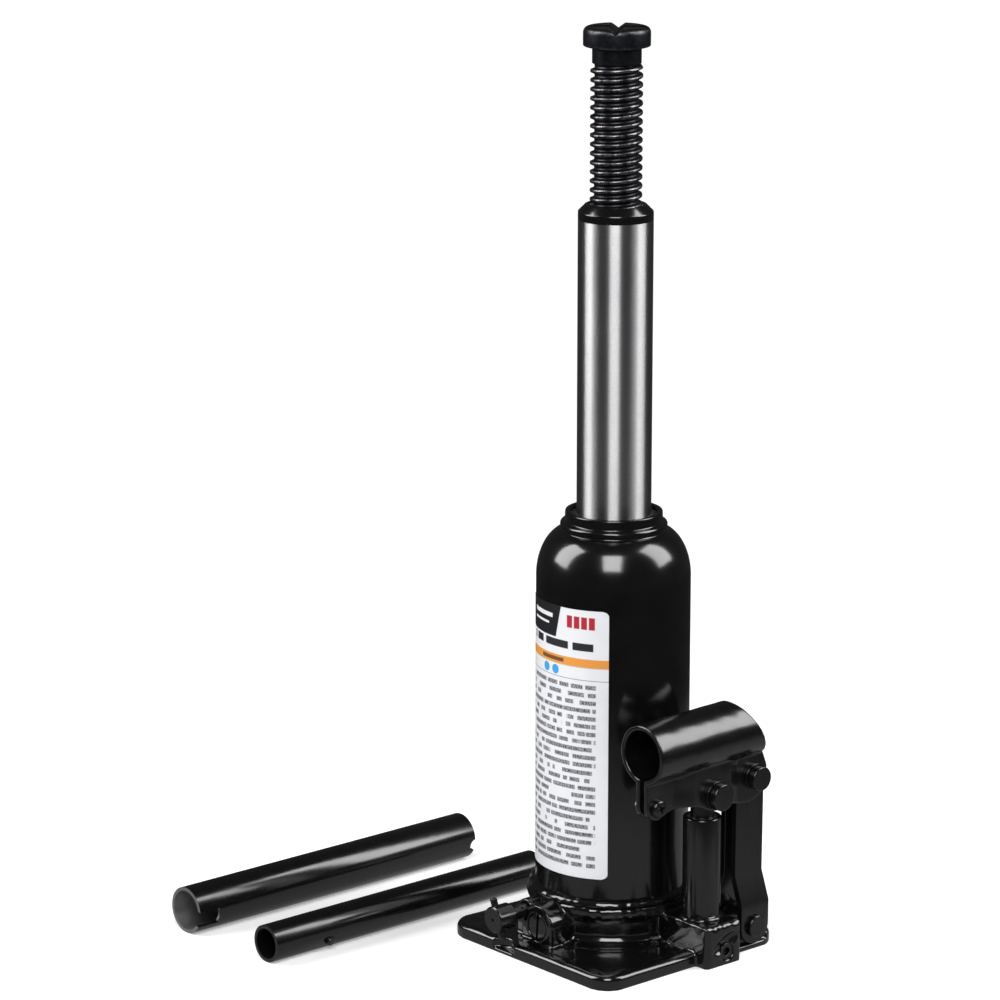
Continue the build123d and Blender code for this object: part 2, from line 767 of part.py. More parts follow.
with BuildPart() as pump_plunger:
    with BuildSketch(Plane.XY.offset(plunger_bottom)):
        with Locations((pump_x, pump_y)):
            Circle(plunger_radius)
    extrude(amount=plunger_pin_z - plunger_bottom)
    with BuildSketch(across(pump_y)):
        with Locations((pump_x, plunger_pin_z)):
            Circle(plunger_eye_radius)
    extrude(amount=plunger_eye_half, both=True)
    with BuildSketch(across(pump_y)):
        with Locations((pump_x, plunger_pin_z)):
            SlotCenterToCenter(2 * pivot_slack, 2 * (pin_radius + loose_fit))
    extrude(amount=2 * plunger_eye_half, both=True, mode=Mode.SUBTRACT)
pump_plunger.part.label = "pump_plunger"
export_step(pump_plunger.part, "parts/pump_plunger.step")

with BuildPart() as suction_ball:
    with Locations((suction_x, pump_y, suction_seat_z + ball_seat_depth)):
        Sphere(ball_radius)
suction_ball.part.label = "suction_ball"
export_step(suction_ball.part, "parts/suction_ball.step")

# The delivery check: a seat, a ball and its spring, one behind the other along +Y.
seat_y = pump_y + pump_spigot_radius + 0.6
seat_length = 2.0
delivery_ball_y = seat_y + seat_length + ball_seat_depth
with BuildPart() as delivery_seat:
    with BuildSketch(across(seat_y)):
        with Locations((discharge_x, discharge_z)):
            Circle(ball_radius + loose_fit - static_fit)
    extrude(amount=-seat_length)
    drill((discharge_x, seat_y - 1, discharge_z), (0, 1, 0), passage_radius, seat_length + 2)
delivery_seat.part.label = "delivery_seat"
export_step(delivery_seat.part, "parts/delivery_seat.step")

with BuildPart() as delivery_ball:
    with Locations((discharge_x, delivery_ball_y, discharge_z)):
        Sphere(ball_radius)
delivery_ball.part.label = "delivery_ball"
export_step(delivery_ball.part, "parts/delivery_ball.step")

with BuildPart() as pump_block_plug:
    with BuildSketch(across(block_front + 0.8)):
        with Locations((suction_x, suction_z)):
            Circle(block_plug_radius)
    extrude(amount=-block_plug_length)
    with BuildSketch(across(block_front + 0.8)):
        with Locations((suction_x, suction_z)):
            RegularPolygon(block_plug_radius * 0.55, 6)
    extrude(amount=-block_plug_length / 2, mode=Mode.SUBTRACT)
pump_block_plug.part.label = "pump_block_plug"
export_step(pump_block_plug.part, "parts/pump_block_plug.step")

# ------------------------------------------------------------------ handle socket
# One pressed sheet: a tube above and two ears below, pinched together at the mouth,
# wide around the plunger and narrower again around the links.
step_one = socket_mouth_x + step_one_start
step_two = pump_x + plunger_eye_radius + pivot_slack
ear_end = link_top_x + ear_tail
ear_low = plunger_pin_z - ear_drop
tube_top = socket_z + socket_outer


def ear_gap(sheet):
    """Points of one side of the gap between the ears, offset outwards by sheet."""
    return [
        (socket_mouth_x - overlap, ear_pinched_inner + sheet),
        (step_one, ear_pinched_inner + sheet),
        (step_one + step_one_run, ear_wide_inner + sheet),
        (step_two, ear_wide_inner + sheet),
        (step_two + step_two_run, ear_narrow_inner + sheet),
        (ear_end + overlap, ear_narrow_inner + sheet),
    ]


def mirrored_outline(points):
    """Close a run of points with its own reflection in the middle plane."""
    return points + [(x, -y) for x, y in reversed(points)]


ear_plane = Plane(origin=(0, pump_y, ear_low - 2))
with BuildPart() as handle_socket:
    with BuildSketch(ear_plane):
        with BuildLine():
            Polyline(*mirrored_outline(ear_gap(ear_thickness)), close=True)
        make_face()
    extrude(amount=socket_z - ear_low + 2)
    tube_start = Plane(
        origin=(socket_mouth_x, pump_y, socket_z),
        z_dir=(cos(radians(socket_rise)), 0, sin(radians(socket_rise))),
    )
    with BuildSketch(tube_start.offset(-4)):
        Circle(socket_outer)
    extrude(amount=ear_end - socket_mouth_x + 8)
    with BuildSketch(tube_start.offset(-5)):
        Circle(socket_bore)
    extrude(amount=ear_end - socket_mouth_x + 12, mode=Mode.SUBTRACT)
    with BuildSketch(ear_plane):
        with BuildLine():
            Polyline(*mirrored_outline(ear_gap(0)), close=True)
        make_face()
    extrude(amount=socket_z - ear_low + 2, mode=Mode.SUBTRACT)
    # Side outline that the press blanks: square mouth, arched lower edge, swept tail.
    with BuildSketch(across(pump_y)):
        with BuildLine():
            Line((socket_mouth_x, tube_top + 2), (pump_x + 14, tube_top + 2))
            ThreePointArc(
                (pump_x + 14, tube_top + 2),
                (ear_end - 7.5, socket_z + 1),
                (ear_end, link_top_z + 4),
            )
            Line((ear_end, link_top_z + 4), (ear_end, link_top_z - 3))
            ThreePointArc(
                (ear_end, link_top_z - 3),
                (ear_end - 1.4, link_top_z - 6.6),
                (ear_end - 5, link_top_z - 8.6),
            )
            Spline(
                (ear_end - 5, link_top_z - 8.6),
                (link_top_x - 6, ear_low - 1.0),
                (pump_x + 8, ear_low + 0.6),
                (pump_x - 2, ear_low),
                (pump_x - 9, ear_low + 3.0),
                (pump_x - 16, ear_low + 3.8),
                (socket_mouth_x + 8, ear_low + 1.0),
            )
            ThreePointArc(
                (socket_mouth_x + 8, ear_low + 1.0),
                (socket_mouth_x + 2.2, ear_low + 1.8),
                (socket_mouth_x, ear_low + 6),
            )
            Line((socket_mouth_x, ear_low + 6), (socket_mouth_x, tube_top + 2))
        make_face()
    extrude(amount=2 * socket_outer, both=True, mode=Mode.INTERSECT)
    drill((pump_x, 0, plunger_pin_z), (0, -1, 0), pin_radius + static_fit, -2 * pump_y)
    drill((link_top_x, 0, link_top_z), (0, -1, 0), pin_radius + static_fit, -2 * pump_y)
    drill((clamp_x, 0, clamp_z), (0, -1, 0), clamp_radius + static_fit, -2 * pump_y)
handle_socket.part.label = "handle_socket"
export_step(handle_socket.part, "parts/handle_socket.step")

# ------------------------------------------------------------------ links
link_length = hypot(link_top_x - lug_x, link_top_z - lug_z)
link_lean = degrees(atan2(link_top_z - lug_z, link_top_x - lug_x))
link_side_plane = Plane.YZ.offset(lug_x - 2 * link_radius)


def link_edge(side):
    """The bent strip seen along X, for the link on one side of the middle plane."""
    low = link_low_inner
    high = link_top_inner
    thick = link_thickness
    foot = lug_z - link_radius - overlap
    crown = link_top_z + link_radius + overlap
    points = [
        (low, foot),
        (low + thick, foot),
        (low + thick, link_bend_low),
        (high + thick, link_bend_high),
        (high + thick, crown),
        (high, crown),
        (high, link_bend_high - overlap),
        (low, link_bend_low - overlap),
    ]
    return [(pump_y + side * y, z) for y, z in points]


for side, link_name in ((-1, "link_front"), (1, "link_rear")):
    with BuildPart() as link:
        with BuildSketch(link_side_plane):
            with BuildLine():
                Polyline(*link_edge(side), close=True)
            make_face()
        extrude(amount=4 * link_radius)
        with BuildSketch(across(0)):
            with Locations(((lug_x + link_top_x) / 2, (lug_z + link_top_z) / 2)):
                SlotCenterToCenter(link_length, 2 * link_radius, rotation=link_lean)
        extrude(amount=-2 * pump_y, mode=Mode.INTERSECT)
        drill((lug_x, 0, lug_z), (0, -1, 0), lower_pin_radius + running_fit, -2 * pump_y)
        drill((link_top_x, 0, link_top_z), (0, -1, 0), pin_radius + running_fit, -2 * pump_y)
    link.part.label = link_name
    export_step(link.part, f"parts/{link_name}.step")


# ------------------------------------------------------------------ pins, washers and clips
def headed_pin(name, x, z, radius, grip, head_radius, head_height, washer):
    """A pin along Y with its head at the front and a clip groove at the back."""
    front = pump_y - grip - washer
    back = pump_y + grip + clip_thickness * 2.4
    with BuildPart() as pin:
        with BuildSketch(across(front)):
            with Locations((x, z)):
                Circle(radius)
        extrude(amount=-(back - front))
        with BuildSketch(across(front)):
            with Locations((x, z)):
                Circle(head_radius - pin_groove)
        extrude(amount=pin_groove)
        with BuildSketch(across(front - pin_groove)):
            with Locations((x, z)):
                Circle(head_radius)
        extrude(amount=head_height)
        fillet(pin.faces().sort_by(Axis.Y)[0].edges(), 0.6)
        chamfer(pin.faces().sort_by(Axis.Y)[-1].edges(), 0.5)
        with BuildSketch(across(pump_y + grip)):
            with Locations((x, z)):
                Circle(radius + overlap)
                Circle(radius - clip_seat, mode=Mode.SUBTRACT)
        extrude(amount=-clip_thickness, mode=Mode.SUBTRACT)
    pin.part.label = name
    export_step(pin.part, f"parts/{name}.step")


headed_pin(
    "plunger_pin",
    pump_x,
    plunger_pin_z,
    pin_radius,
    ear_wide_half,
    plunger_head_radius,
    pin_head_height,
    pin_washer,
)
headed_pin(
    "upper_link_pin",
    link_top_x,
    link_top_z,
    pin_radius,
    ear_narrow_half,
    link_head_radius,
    pin_head_height,
    pin_washer,
)
headed_pin(
    "lower_link_pin",
    lug_x,
    lug_z,
    lower_pin_radius,
    lower_grip,
    lower_head_radius,
    lower_head_height,
    0,
)

with BuildPart() as pin_washers:
    for x, z, half, rim in (
        (pump_x, plunger_pin_z, ear_wide_half, plunger_head_radius),
        (link_top_x, link_top_z, ear_narrow_half, link_head_radius),
    ):
        with BuildSketch(across(pump_y - half)):
            with Locations((x, z)):
                Circle(rim + 0.5)
                Circle(pin_radius + static_fit, mode=Mode.SUBTRACT)
        extrude(amount=pin_washer)
pin_washers.part.label = "pin_washers"
export_step(pin_washers.part, "parts/pin_washers.step")


def spring_clip(x, z, radius, y):
    """The C-shaped face of a clip that snaps into a pin's groove."""
    with BuildSketch(across(y)) as clip:
        with Locations((x, z)):
            Circle(radius + clip_width)
            Circle(radius - clip_seat + static_fit, mode=Mode.SUBTRACT)
            Rectangle(2 * radius - 2, 4 * radius, align=(Align.CENTER, Align.MAX), mode=Mode.SUBTRACT)
    return clip.sketch


with BuildPart() as pin_clips:
    for x, z, half in ((pump_x, plunger_pin_z, ear_wide_half), (link_top_x, link_top_z, ear_narrow_half)):
        clip_face = spring_clip(x, z, pin_radius, pump_y + half + clip_play)
        extrude(clip_face, amount=-(clip_thickness - 2 * clip_play))
pin_clips.part.label = "pin_clips"
export_step(pin_clips.part, "parts/pin_clips.step")

with BuildPart() as lower_pin_clip:
    lower_clip = spring_clip(lug_x, lug_z, lower_pin_radius, pump_y + lower_grip + clip_play)
    extrude(lower_clip, amount=-(clip_thickness - 2 * clip_play))
lower_pin_clip.part.label = "lower_pin_clip"
export_step(lower_pin_clip.part, "parts/lower_pin_clip.step")

# ------------------------------------------------------------------ clamp screw at the mouth
clamp_front = pump_y - ear_pinched_half
clamp_back = pump_y + ear_pinched_half
with BuildPart() as clamp_screw:
    with BuildSketch(across(clamp_front)):
        with Locations((clamp_x, clamp_z)):
            Circle(clamp_radius)
    extrude(amount=-(2 * ear_pinched_half + clamp_nut_height + 1.2))
    with BuildSketch(across(clamp_front)):
        with Locations((clamp_x, clamp_z)):
            Circle(clamp_head_radius)
    extrude(amount=clamp_head_height)
    fillet(clamp_screw.faces().sort_by(Axis.Y)[0].edges(), 1.2)
    with BuildSketch(across(clamp_front - clamp_head_height)):
        with Locations(Location((clamp_x, clamp_z, 0), 20)):
            Rectangle(clamp_head_radius * 1.1, 0.9)
            Rectangle(0.9, clamp_head_radius * 1.1)
    extrude(amount=-clamp_head_height * 0.6, mode=Mode.SUBTRACT)
clamp_screw.part.label = "clamp_screw"
export_step(clamp_screw.part, "parts/clamp_screw.step")

with BuildPart() as clamp_nut:
    with BuildSketch(across(clamp_back)):
        with Locations((clamp_x, clamp_z)):
            RegularPolygon(clamp_nut_radius, 6)
            Circle(clamp_radius + static_fit, mode=Mode.SUBTRACT)
    extrude(amount=-clamp_nut_height)
clamp_nut.part.label = "clamp_nut"
export_step(clamp_nut.part, "parts/clamp_nut.step")

# ------------------------------------------------------------------ release valve
release_ball_x = valve_bore_end - ball_seat_depth
stem_tip = release_ball_x - ball_radius - static_fit
with BuildPart() as release_valve:
    with BuildSketch(Plane.YZ.offset(knob_face)):
        with Locations((valve_y, valve_z)):
            Circle(knob_radius)
    extrude(amount=knob_length)
    chamfer(release_valve.edges().filter_by(GeomType.CIRCLE), 0.5)
    with BuildSketch(Plane.YZ.offset(knob_face + knob_length)):
        with Locations((valve_y, valve_z)):
            Circle(valve_neck_radius)
    extrude(amount=stem_tip - knob_face - knob_length)
    with BuildSketch(Plane.YZ.offset(valve_boss_face - 3)):
        with Locations((valve_y, valve_z)):
            Circle(valve_thread_radius)
    extrude(amount=9)
    with BuildSketch(
        Plane(
            origin=(knob_face + 3, valve_y, valve_z),
            z_dir=(0, sin(radians(knob_pin_lean)), cos(radians(knob_pin_lean))),
        )
    ):
        Circle(knob_pin_radius + static_fit)
    extrude(amount=2 * knob_radius, both=True, mode=Mode.SUBTRACT)
    drill((knob_face, valve_y, valve_z), (1, 0, 0), 0.7, 0.7)
release_valve.part.label = "release_valve"
export_step(release_valve.part, "parts/release_valve.step")

with BuildPart() as valve_cross_pin:
    with BuildSketch(
        Plane(
            origin=(knob_face + 3, valve_y, valve_z),
            z_dir=(0, sin(radians(knob_pin_lean)), cos(radians(knob_pin_lean))),
        )
    ):
        Circle(knob_pin_radius)
    extrude(amount=knob_pin_half, both=True)
    fillet(valve_cross_pin.edges().filter_by(GeomType.CIRCLE), knob_pin_radius * 0.6)
valve_cross_pin.part.label = "valve_cross_pin"
export_step(valve_cross_pin.part, "parts/valve_cross_pin.step")

with BuildPart() as release_ball:
    with Locations((release_ball_x, valve_y, valve_z)):
        Sphere(ball_radius)
release_ball.part.label = "release_ball"
export_step(release_ball.part, "parts/release_ball.step")

with BuildPart() as valve_packing:
    with BuildSketch(Plane.YZ.offset(valve_boss_face + 8)):
        with Locations((valve_y, valve_z)):
            Circle(valve_thread_radius + loose_fit - static_fit)
            Circle(valve_neck_radius + running_fit, mode=Mode.SUBTRACT)
    extrude(amount=1.2)
valve_packing.part.label = "valve_packing"
export_step(valve_packing.part, "parts/valve_packing.step")

# ------------------------------------------------------------------ overload valve
with BuildPart() as overload_plug:
    with BuildSketch(Plane.YZ.offset(plug_boss_face + 0.4)):
        with Locations((plug_y, plug_z)):
            Circle(plug_radius)
    extrude(amount=plug_length - 0.4)
    chamfer(overload_plug.faces().sort_by(Axis.X)[0].edges(), 0.5)
    with BuildSketch(Plane.YZ.offset(plug_boss_face + 0.4)):
        with Locations(Location((plug_y, plug_z, 0), 4)):
            Rectangle(plug_slot_width, 4 * plug_radius)
    extrude(amount=plug_slot_depth, mode=Mode.SUBTRACT)
overload_plug.part.label = "overload_plug"
export_step(overload_plug.part, "parts/overload_plug.step")

overload_ball_x = relief_bore_end - ball_seat_depth
with BuildPart() as overload_ball:
    with Locations((overload_ball_x, plug_y, plug_z)):
        Sphere(ball_radius)
overload_ball.part.label = "overload_ball"
export_step(overload_ball.part, "parts/overload_ball.step")


def valve_spring(name, start, direction, length, radius, turns):
    """A round-wire coil spring that starts at a point and runs along a direction."""
    with BuildPart() as spring:
        with BuildLine() as coil:
            Helix(length / turns, length, radius, center=start, direction=direction)
        with BuildSketch(Plane(origin=coil.line @ 0, z_dir=coil.line % 0)):
            Circle(spring_wire)
        sweep(is_frenet=True)
    spring.part.label = name
    export_step(spring.part, f"parts/{name}.step")


overload_spring_start = plug_boss_face + plug_length + spring_wire + spring_play
overload_spring_end = overload_ball_x - ball_radius - spring_wire - spring_play
valve_spring(
    "overload_spring",
    (overload_spring_start, plug_y, plug_z),
    (1, 0, 0),
    overload_spring_end - overload_spring_start,
    relief_bore_radius - spring_wire - loose_fit,
    4,
)
delivery_spring_start = delivery_ball_y + ball_radius + spring_wire + spring_play
valve_spring(
    "delivery_spring",
    (discharge_x, delivery_spring_start, discharge_z),
    (0, 1, 0),
    delivery_stop_y - spring_wire - spring_play - delivery_spring_start,
    ball_radius - spring_wire - spring_play,
    2,
)

# ------------------------------------------------------------------ filler plug and label
filler_plane = Plane(
    origin=(0, 0, filler_z),
    z_dir=(cos(radians(filler_turn)), sin(radians(filler_turn)), 0),
)
with BuildPart() as oil_filler_plug:
    with BuildSketch(filler_plane.offset(tank_inner - 2.5)):
        Circle(filler_radius - static_fit)
    extrude(amount=tank_wall + 4)
    with BuildSketch(filler_plane.offset(tank_radius + 0.1)):
        Circle(filler_cap_radius)
    extrude(amount=2.2)
    fillet(oil_filler_plug.faces().sort_by(Axis((0, 0, filler_z), filler_way))[-1].edges(), 0.8)
oil_filler_plug.part.label = "oil_filler_plug"
export_step(oil_filler_plug.part, "parts/oil_filler_plug.step")

with BuildPart() as label:
    with BuildSketch(Plane.XY.offset(label_bottom)):
        Circle(tank_radius + static_fit + label_thickness)
        Circle(tank_radius + static_fit, mode=Mode.SUBTRACT)
    extrude(amount=label_height)
    with BuildSketch(Plane.YZ.offset(-2 * tank_radius)):
        with Locations((0, label_bottom + label_height / 2)):
            RectangleRounded(2 * label_half_width, label_height, label_corner)
    extrude(amount=2 * tank_radius, mode=Mode.INTERSECT)
label.part.label = "label"
export_step(label.part, "parts/label.step")

# ------------------------------------------------------------------ two-piece pump handle
with BuildPart() as handle_large_tube:
    with BuildSketch(Plane.YZ.offset(handle_large_left)):
        with Locations((handle_large_y, handle_large_radius)):
            Circle(handle_large_radius)
            Circle(handle_large_radius - handle_wall, mode=Mode.SUBTRACT)
    extrude(amount=handle_large_length)
    # Catch slot at the joining end, open to the end face on the pump's side.
    slot_way = (0, -cos(radians(handle_slot_turn)), -sin(radians(handle_slot_turn)))
    slot_origin = (handle_large_left - overlap, handle_large_y, handle_large_radius)
    with BuildSketch(Plane(origin=slot_origin, x_dir=(1, 0, 0), z_dir=slot_way)):
        Rectangle(handle_slot_length + overlap, handle_slot_width, align=(Align.MIN, Align.CENTER))
    extrude(amount=2 * handle_large_radius, mode=Mode.SUBTRACT)
    # Two notches at the far end fit over the valve's cross pin.
    handle_large_right = handle_large_left + handle_large_length
    for side in (-1, 1):
        notch_way = (0, side * slot_way[1], side * slot_way[2])
        drill(
            (handle_large_right, handle_large_y, handle_large_radius),
            notch_way,
            handle_notch_radius,
            2 * handle_large_radius,
        )
handle_large_tube.part.label = "handle_large_tube"
export_step(handle_large_tube.part, "parts/handle_large_tube.step")

rivet_x = handle_small_left + rivet_from_end
rivet_way = (0, -cos(radians(rivet_turn)), -sin(radians(rivet_turn)))
rivet_plane = Plane(origin=(rivet_x, handle_small_y, handle_small_radius), z_dir=rivet_way)
with BuildPart() as handle_small_tube:
    with BuildSketch(Plane.YZ.offset(handle_small_left)):
        with Locations((handle_small_y, handle_small_radius)):
            Circle(handle_small_radius)
            Circle(handle_small_radius - handle_wall, mode=Mode.SUBTRACT)
    extrude(amount=handle_small_length)
    drill(
        (rivet_x, handle_small_y, handle_small_radius),
        rivet_way,
        rivet_radius + static_fit,
        2 * handle_small_radius,
    )
handle_small_tube.part.label = "handle_small_tube"
export_step(handle_small_tube.part, "parts/handle_small_tube.step")

with BuildPart() as handle_rivet:
    with BuildSketch(rivet_plane.offset(handle_small_radius + rivet_stand)):
        Circle(rivet_radius)
    extrude(amount=-(rivet_stand + handle_wall + rivet_tail))
    fillet(handle_rivet.faces().sort_by(Axis((0, 0, 0), rivet_way))[-1].edges(), rivet_round)
    with BuildSketch(rivet_plane.offset(handle_small_radius - handle_wall - rivet_head_gap)):
        Circle(rivet_head)
    extrude(amount=-1)
handle_rivet.part.label = "handle_rivet"
export_step(handle_rivet.part, "parts/handle_rivet.step")
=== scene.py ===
# %% [markdown]
# # A hydraulic bottle jack with its two handle tubes
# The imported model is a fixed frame: every size and place below is read from it, and
# each piece rides on one of its bodies, so the looks move when the joints move.
# It has to be loaded before anything else is made.

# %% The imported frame
import json
import math

import bmesh
import bpy
import numpy as np
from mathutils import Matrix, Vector

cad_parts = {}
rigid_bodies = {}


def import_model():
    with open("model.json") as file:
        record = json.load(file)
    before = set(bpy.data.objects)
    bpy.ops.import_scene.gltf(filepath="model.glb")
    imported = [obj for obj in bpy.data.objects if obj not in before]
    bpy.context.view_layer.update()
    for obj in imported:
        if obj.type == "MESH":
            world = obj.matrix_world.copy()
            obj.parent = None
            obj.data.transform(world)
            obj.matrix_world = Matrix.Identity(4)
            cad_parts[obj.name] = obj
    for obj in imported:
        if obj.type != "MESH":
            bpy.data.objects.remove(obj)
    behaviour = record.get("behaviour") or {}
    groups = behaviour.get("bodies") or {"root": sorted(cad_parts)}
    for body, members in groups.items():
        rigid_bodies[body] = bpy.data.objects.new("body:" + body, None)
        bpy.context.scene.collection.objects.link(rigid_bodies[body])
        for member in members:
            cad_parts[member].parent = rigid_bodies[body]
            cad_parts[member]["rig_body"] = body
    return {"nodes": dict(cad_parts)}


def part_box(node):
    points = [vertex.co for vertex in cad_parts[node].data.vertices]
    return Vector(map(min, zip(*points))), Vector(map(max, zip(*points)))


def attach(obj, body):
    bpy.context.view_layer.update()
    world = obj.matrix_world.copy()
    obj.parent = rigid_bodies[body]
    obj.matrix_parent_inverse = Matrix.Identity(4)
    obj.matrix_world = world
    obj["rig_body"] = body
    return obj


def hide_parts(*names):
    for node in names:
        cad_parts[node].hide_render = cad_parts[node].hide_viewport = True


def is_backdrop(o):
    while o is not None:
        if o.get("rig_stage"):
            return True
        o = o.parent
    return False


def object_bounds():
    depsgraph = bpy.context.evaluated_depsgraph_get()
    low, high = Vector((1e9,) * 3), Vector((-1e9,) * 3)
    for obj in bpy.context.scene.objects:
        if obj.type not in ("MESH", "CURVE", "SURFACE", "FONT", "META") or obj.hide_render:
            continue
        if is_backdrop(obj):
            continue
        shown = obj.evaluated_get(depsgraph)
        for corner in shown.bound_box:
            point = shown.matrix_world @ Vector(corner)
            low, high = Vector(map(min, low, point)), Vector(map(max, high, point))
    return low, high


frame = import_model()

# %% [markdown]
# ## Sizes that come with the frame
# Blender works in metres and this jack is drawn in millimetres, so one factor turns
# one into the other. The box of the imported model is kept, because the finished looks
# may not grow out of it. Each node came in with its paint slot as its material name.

MM = 0.001
cad_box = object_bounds()
nodes = frame["nodes"]
slot_of = {name: node.data.materials[0].name for name, node in nodes.items()}


def span(node):
    """The lowest and highest corner of a node, in millimetres."""
    low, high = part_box(node)
    return low / MM, high / MM


print("packed box in mm", [round(v / MM, 1) for corner in cad_box for v in corner])

# %% [markdown]
# ## The camera
# A long lens from three quarters front, a little above the jack, keeps the tall ram
# nearly parallel. The distance is about 1.7 m, and the lens fills the square frame.

# %% Camera
CAMERA_PLACE = Vector((-1.1651, -1.2690, 0.6191))
CAMERA_LINE = Vector((0.6363, 0.7323, -0.2427))
LENS = 154.45

camera = bpy.data.objects.new("camera", bpy.data.cameras.new("camera"))
bpy.context.scene.collection.objects.link(camera)
camera.location = CAMERA_PLACE
camera.rotation_mode = "QUATERNION"
camera.rotation_quaternion = CAMERA_LINE.to_track_quat("-Z", "Y")
camera.data.sensor_width = 36.0
camera.data.lens = LENS
bpy.context.scene.camera = camera
bpy.context.scene.view_settings.view_transform = "Standard"
print("camera distance in m", round(CAMERA_PLACE.length, 3))

# %% [markdown]
# ## Shader maths
# A procedural finish is arithmetic on places: distances, masks and noise. One small
# class wraps a socket, so that `1 - mask` adds its Math node by itself. A second one
# holds the material and adds every other kind of node through one method.

# %% A signal and a finish
class Signal:
    """A socket that carries a number, so that shader maths reads like ordinary sums."""

    def __init__(self, socket):
        self.socket = socket

    def step(self, operation, first, second=0.0, clamp=False):
        """One Math node between two values, each a number or a signal."""
        node = self.socket.id_data.nodes.new("ShaderNodeMath")
        node.operation = operation
        node.use_clamp = clamp
        for socket, value in zip(node.inputs, (first, second)):
            if isinstance(value, Signal):
                self.socket.id_data.links.new(value.socket, socket)
            else:
                socket.default_value = value
        return Signal(node.outputs[0])

    def __add__(self, other):
        return self.step("ADD", self, other)

    def __radd__(self, other):
        return self.step("ADD", other, self)

    def __sub__(self, other):
        return self.step("SUBTRACT", self, other)

    def __rsub__(self, other):
        return self.step("SUBTRACT", other, self)

    def __mul__(self, other):
        return self.step("MULTIPLY", self, other)

    def __rmul__(self, other):
        return self.step("MULTIPLY", other, self)

    def __truediv__(self, other):
        return self.step("DIVIDE", self, other)

    def __pow__(self, other):
        return self.step("POWER", self, other)

    def __abs__(self):
        return self.step("ABSOLUTE", self)

    def clamped(self):
        return self.step("ADD", self, 0.0, clamp=True)

    def floor(self):
        return self.step("FLOOR", self)

    def fraction(self):
        return self.step("FRACT", self)

    def greater(self, other):
        return self.step("MAXIMUM", self, other)

    def above(self, edge, soft):
        """Rises from 0 to 1 over soft, once this value passes the edge."""
        return ((self - edge) / soft).clamped()

    def between(self, low, high, soft):
        """1 between two edges and 0 outside them."""
        return self.above(low, soft) * (1 - self.above(high - soft, soft))


class Finish:
    """A material in the making: its shader, and one way to add any other node."""

    def __init__(self, name, **constants):
        self.material = bpy.data.materials.new(name)
        self.material.use_nodes = True
        self.tree = self.material.node_tree
        self.shader = self.tree.nodes["Principled BSDF"]
        for socket, value in constants.items():
            self.set(socket, value)
        self.place = self.node("ShaderNodeTexCoord", out="Object")
        split = "ShaderNodeSeparateXYZ"
        self.x, self.y, self.z = (self.node(split, inputs={0: self.place}, out=i) / MM for i in range(3))

    def node(self, kind, settings=None, inputs=None, out=0):
        """A node of this kind, its settings first, then its sockets; gives one output."""
        made = self.tree.nodes.new(kind)
        for name, value in (settings or {}).items():
            setattr(made, name, value)
        for name, value in (inputs or {}).items():
            self.feed(made.inputs[name], value)
        return Signal(made.outputs[out])

    def feed(self, socket, value):
        if isinstance(value, Signal):
            self.tree.links.new(value.socket, socket)
        else:
            socket.default_value = value

    def set(self, socket, value):
        """A number, colour or signal for one of the shader's own sockets."""
        self.feed(self.shader.inputs[socket.replace("_", " ").title().replace("Ior", "IOR")], value)

    def grain(self, size, detail=2.0, stretch=(1, 1, 1), seed=0.0, rough=0.5):
        """Noise from 0 to 1 with lumps of this size in millimetres, drawn out by stretch."""
        scale = [1 / (size * MM * s) for s in stretch]
        settings = {"operation": "MULTIPLY_ADD"}
        spread = self.node("ShaderNodeVectorMath", settings, {0: self.place, 1: scale, 2: [seed] * 3})
        values = {"Vector": spread, "Scale": 1.0, "Detail": detail, "Roughness": rough}
        return self.node("ShaderNodeTexNoise", None, values)

    def blend(self, mask, below, over):
        """A colour that goes from below to over as the mask goes from 0 to 1."""
        pair = [value if isinstance(value, Signal) else (*value, 1.0) for value in (below, over)]
        values = {0: mask, 6: pair[0], 7: pair[1]}
        return self.node("ShaderNodeMix", {"data_type": "RGBA"}, values, out=2)

    def relief(self, height):
        """Turns a height in millimetres into the shader's normal."""
        values = {"Strength": 1.0, "Distance": MM, "Height": height}
        self.set("Normal", self.node("ShaderNodeBump", None, values, out="Normal"))


# %% [markdown]
# ## Thick gloss enamel
# The whole jack is sprayed in one heavy black coat. It pools and sags a little, has
# the fine orange skin of sprayed paint, and over the casting the sand shows through.
# A bump of a few hundredths of a millimetre is enough, because gloss shows every slope.
# The casting's texture is a second, coarser height that only the cast base asks for,
# and the pressed sheet and the handle tubes have a coat that is a little duller.

# %% Enamel
def enamel(name, casting=0.0, skin=0.006, dulled=0.12):
    """Gloss black. casting and skin are depths of texture, in mm, and dulled the least roughness."""
    finish = Finish(name, ior=1.65)
    sag = finish.grain(11.0, detail=1.0)
    peel = finish.grain(1.5, detail=1.0)
    dust = finish.grain(0.5, detail=3.0).above(0.72, 0.05)
    shade = finish.blend(sag, (0.0018, 0.0018, 0.0021), (0.0034, 0.0034, 0.0036))
    finish.set("base_color", finish.blend(dust * 0.5, shade, (0.03, 0.03, 0.03)))
    finish.set("roughness", dulled + sag * 0.08 + dust * 0.2)
    height = peel * skin + sag * 0.05
    if casting:
        height = height + finish.grain(5.0, detail=2.0) * casting
    finish.relief(height)
    return finish.material


gloss_enamel = enamel("gloss_enamel")
cast_enamel = enamel("cast_enamel", casting=0.06, skin=0.008, dulled=0.10)
sheet_enamel = enamel("sheet_enamel", dulled=0.18)
tube_enamel = enamel("tube_enamel", skin=0.004, dulled=0.15)
print("enamels", gloss_enamel.name, cast_enamel.name, sheet_enamel.name, tube_enamel.name)

# %% [markdown]
# ## Satin black on pressed steel
# The links, pins, screws and the valve are phosphated and dipped: a thinner black that
# lets a little grey through. Its gloss is patchier than the enamel's, because it is
# mottled on the scale of the crystals of the coat.

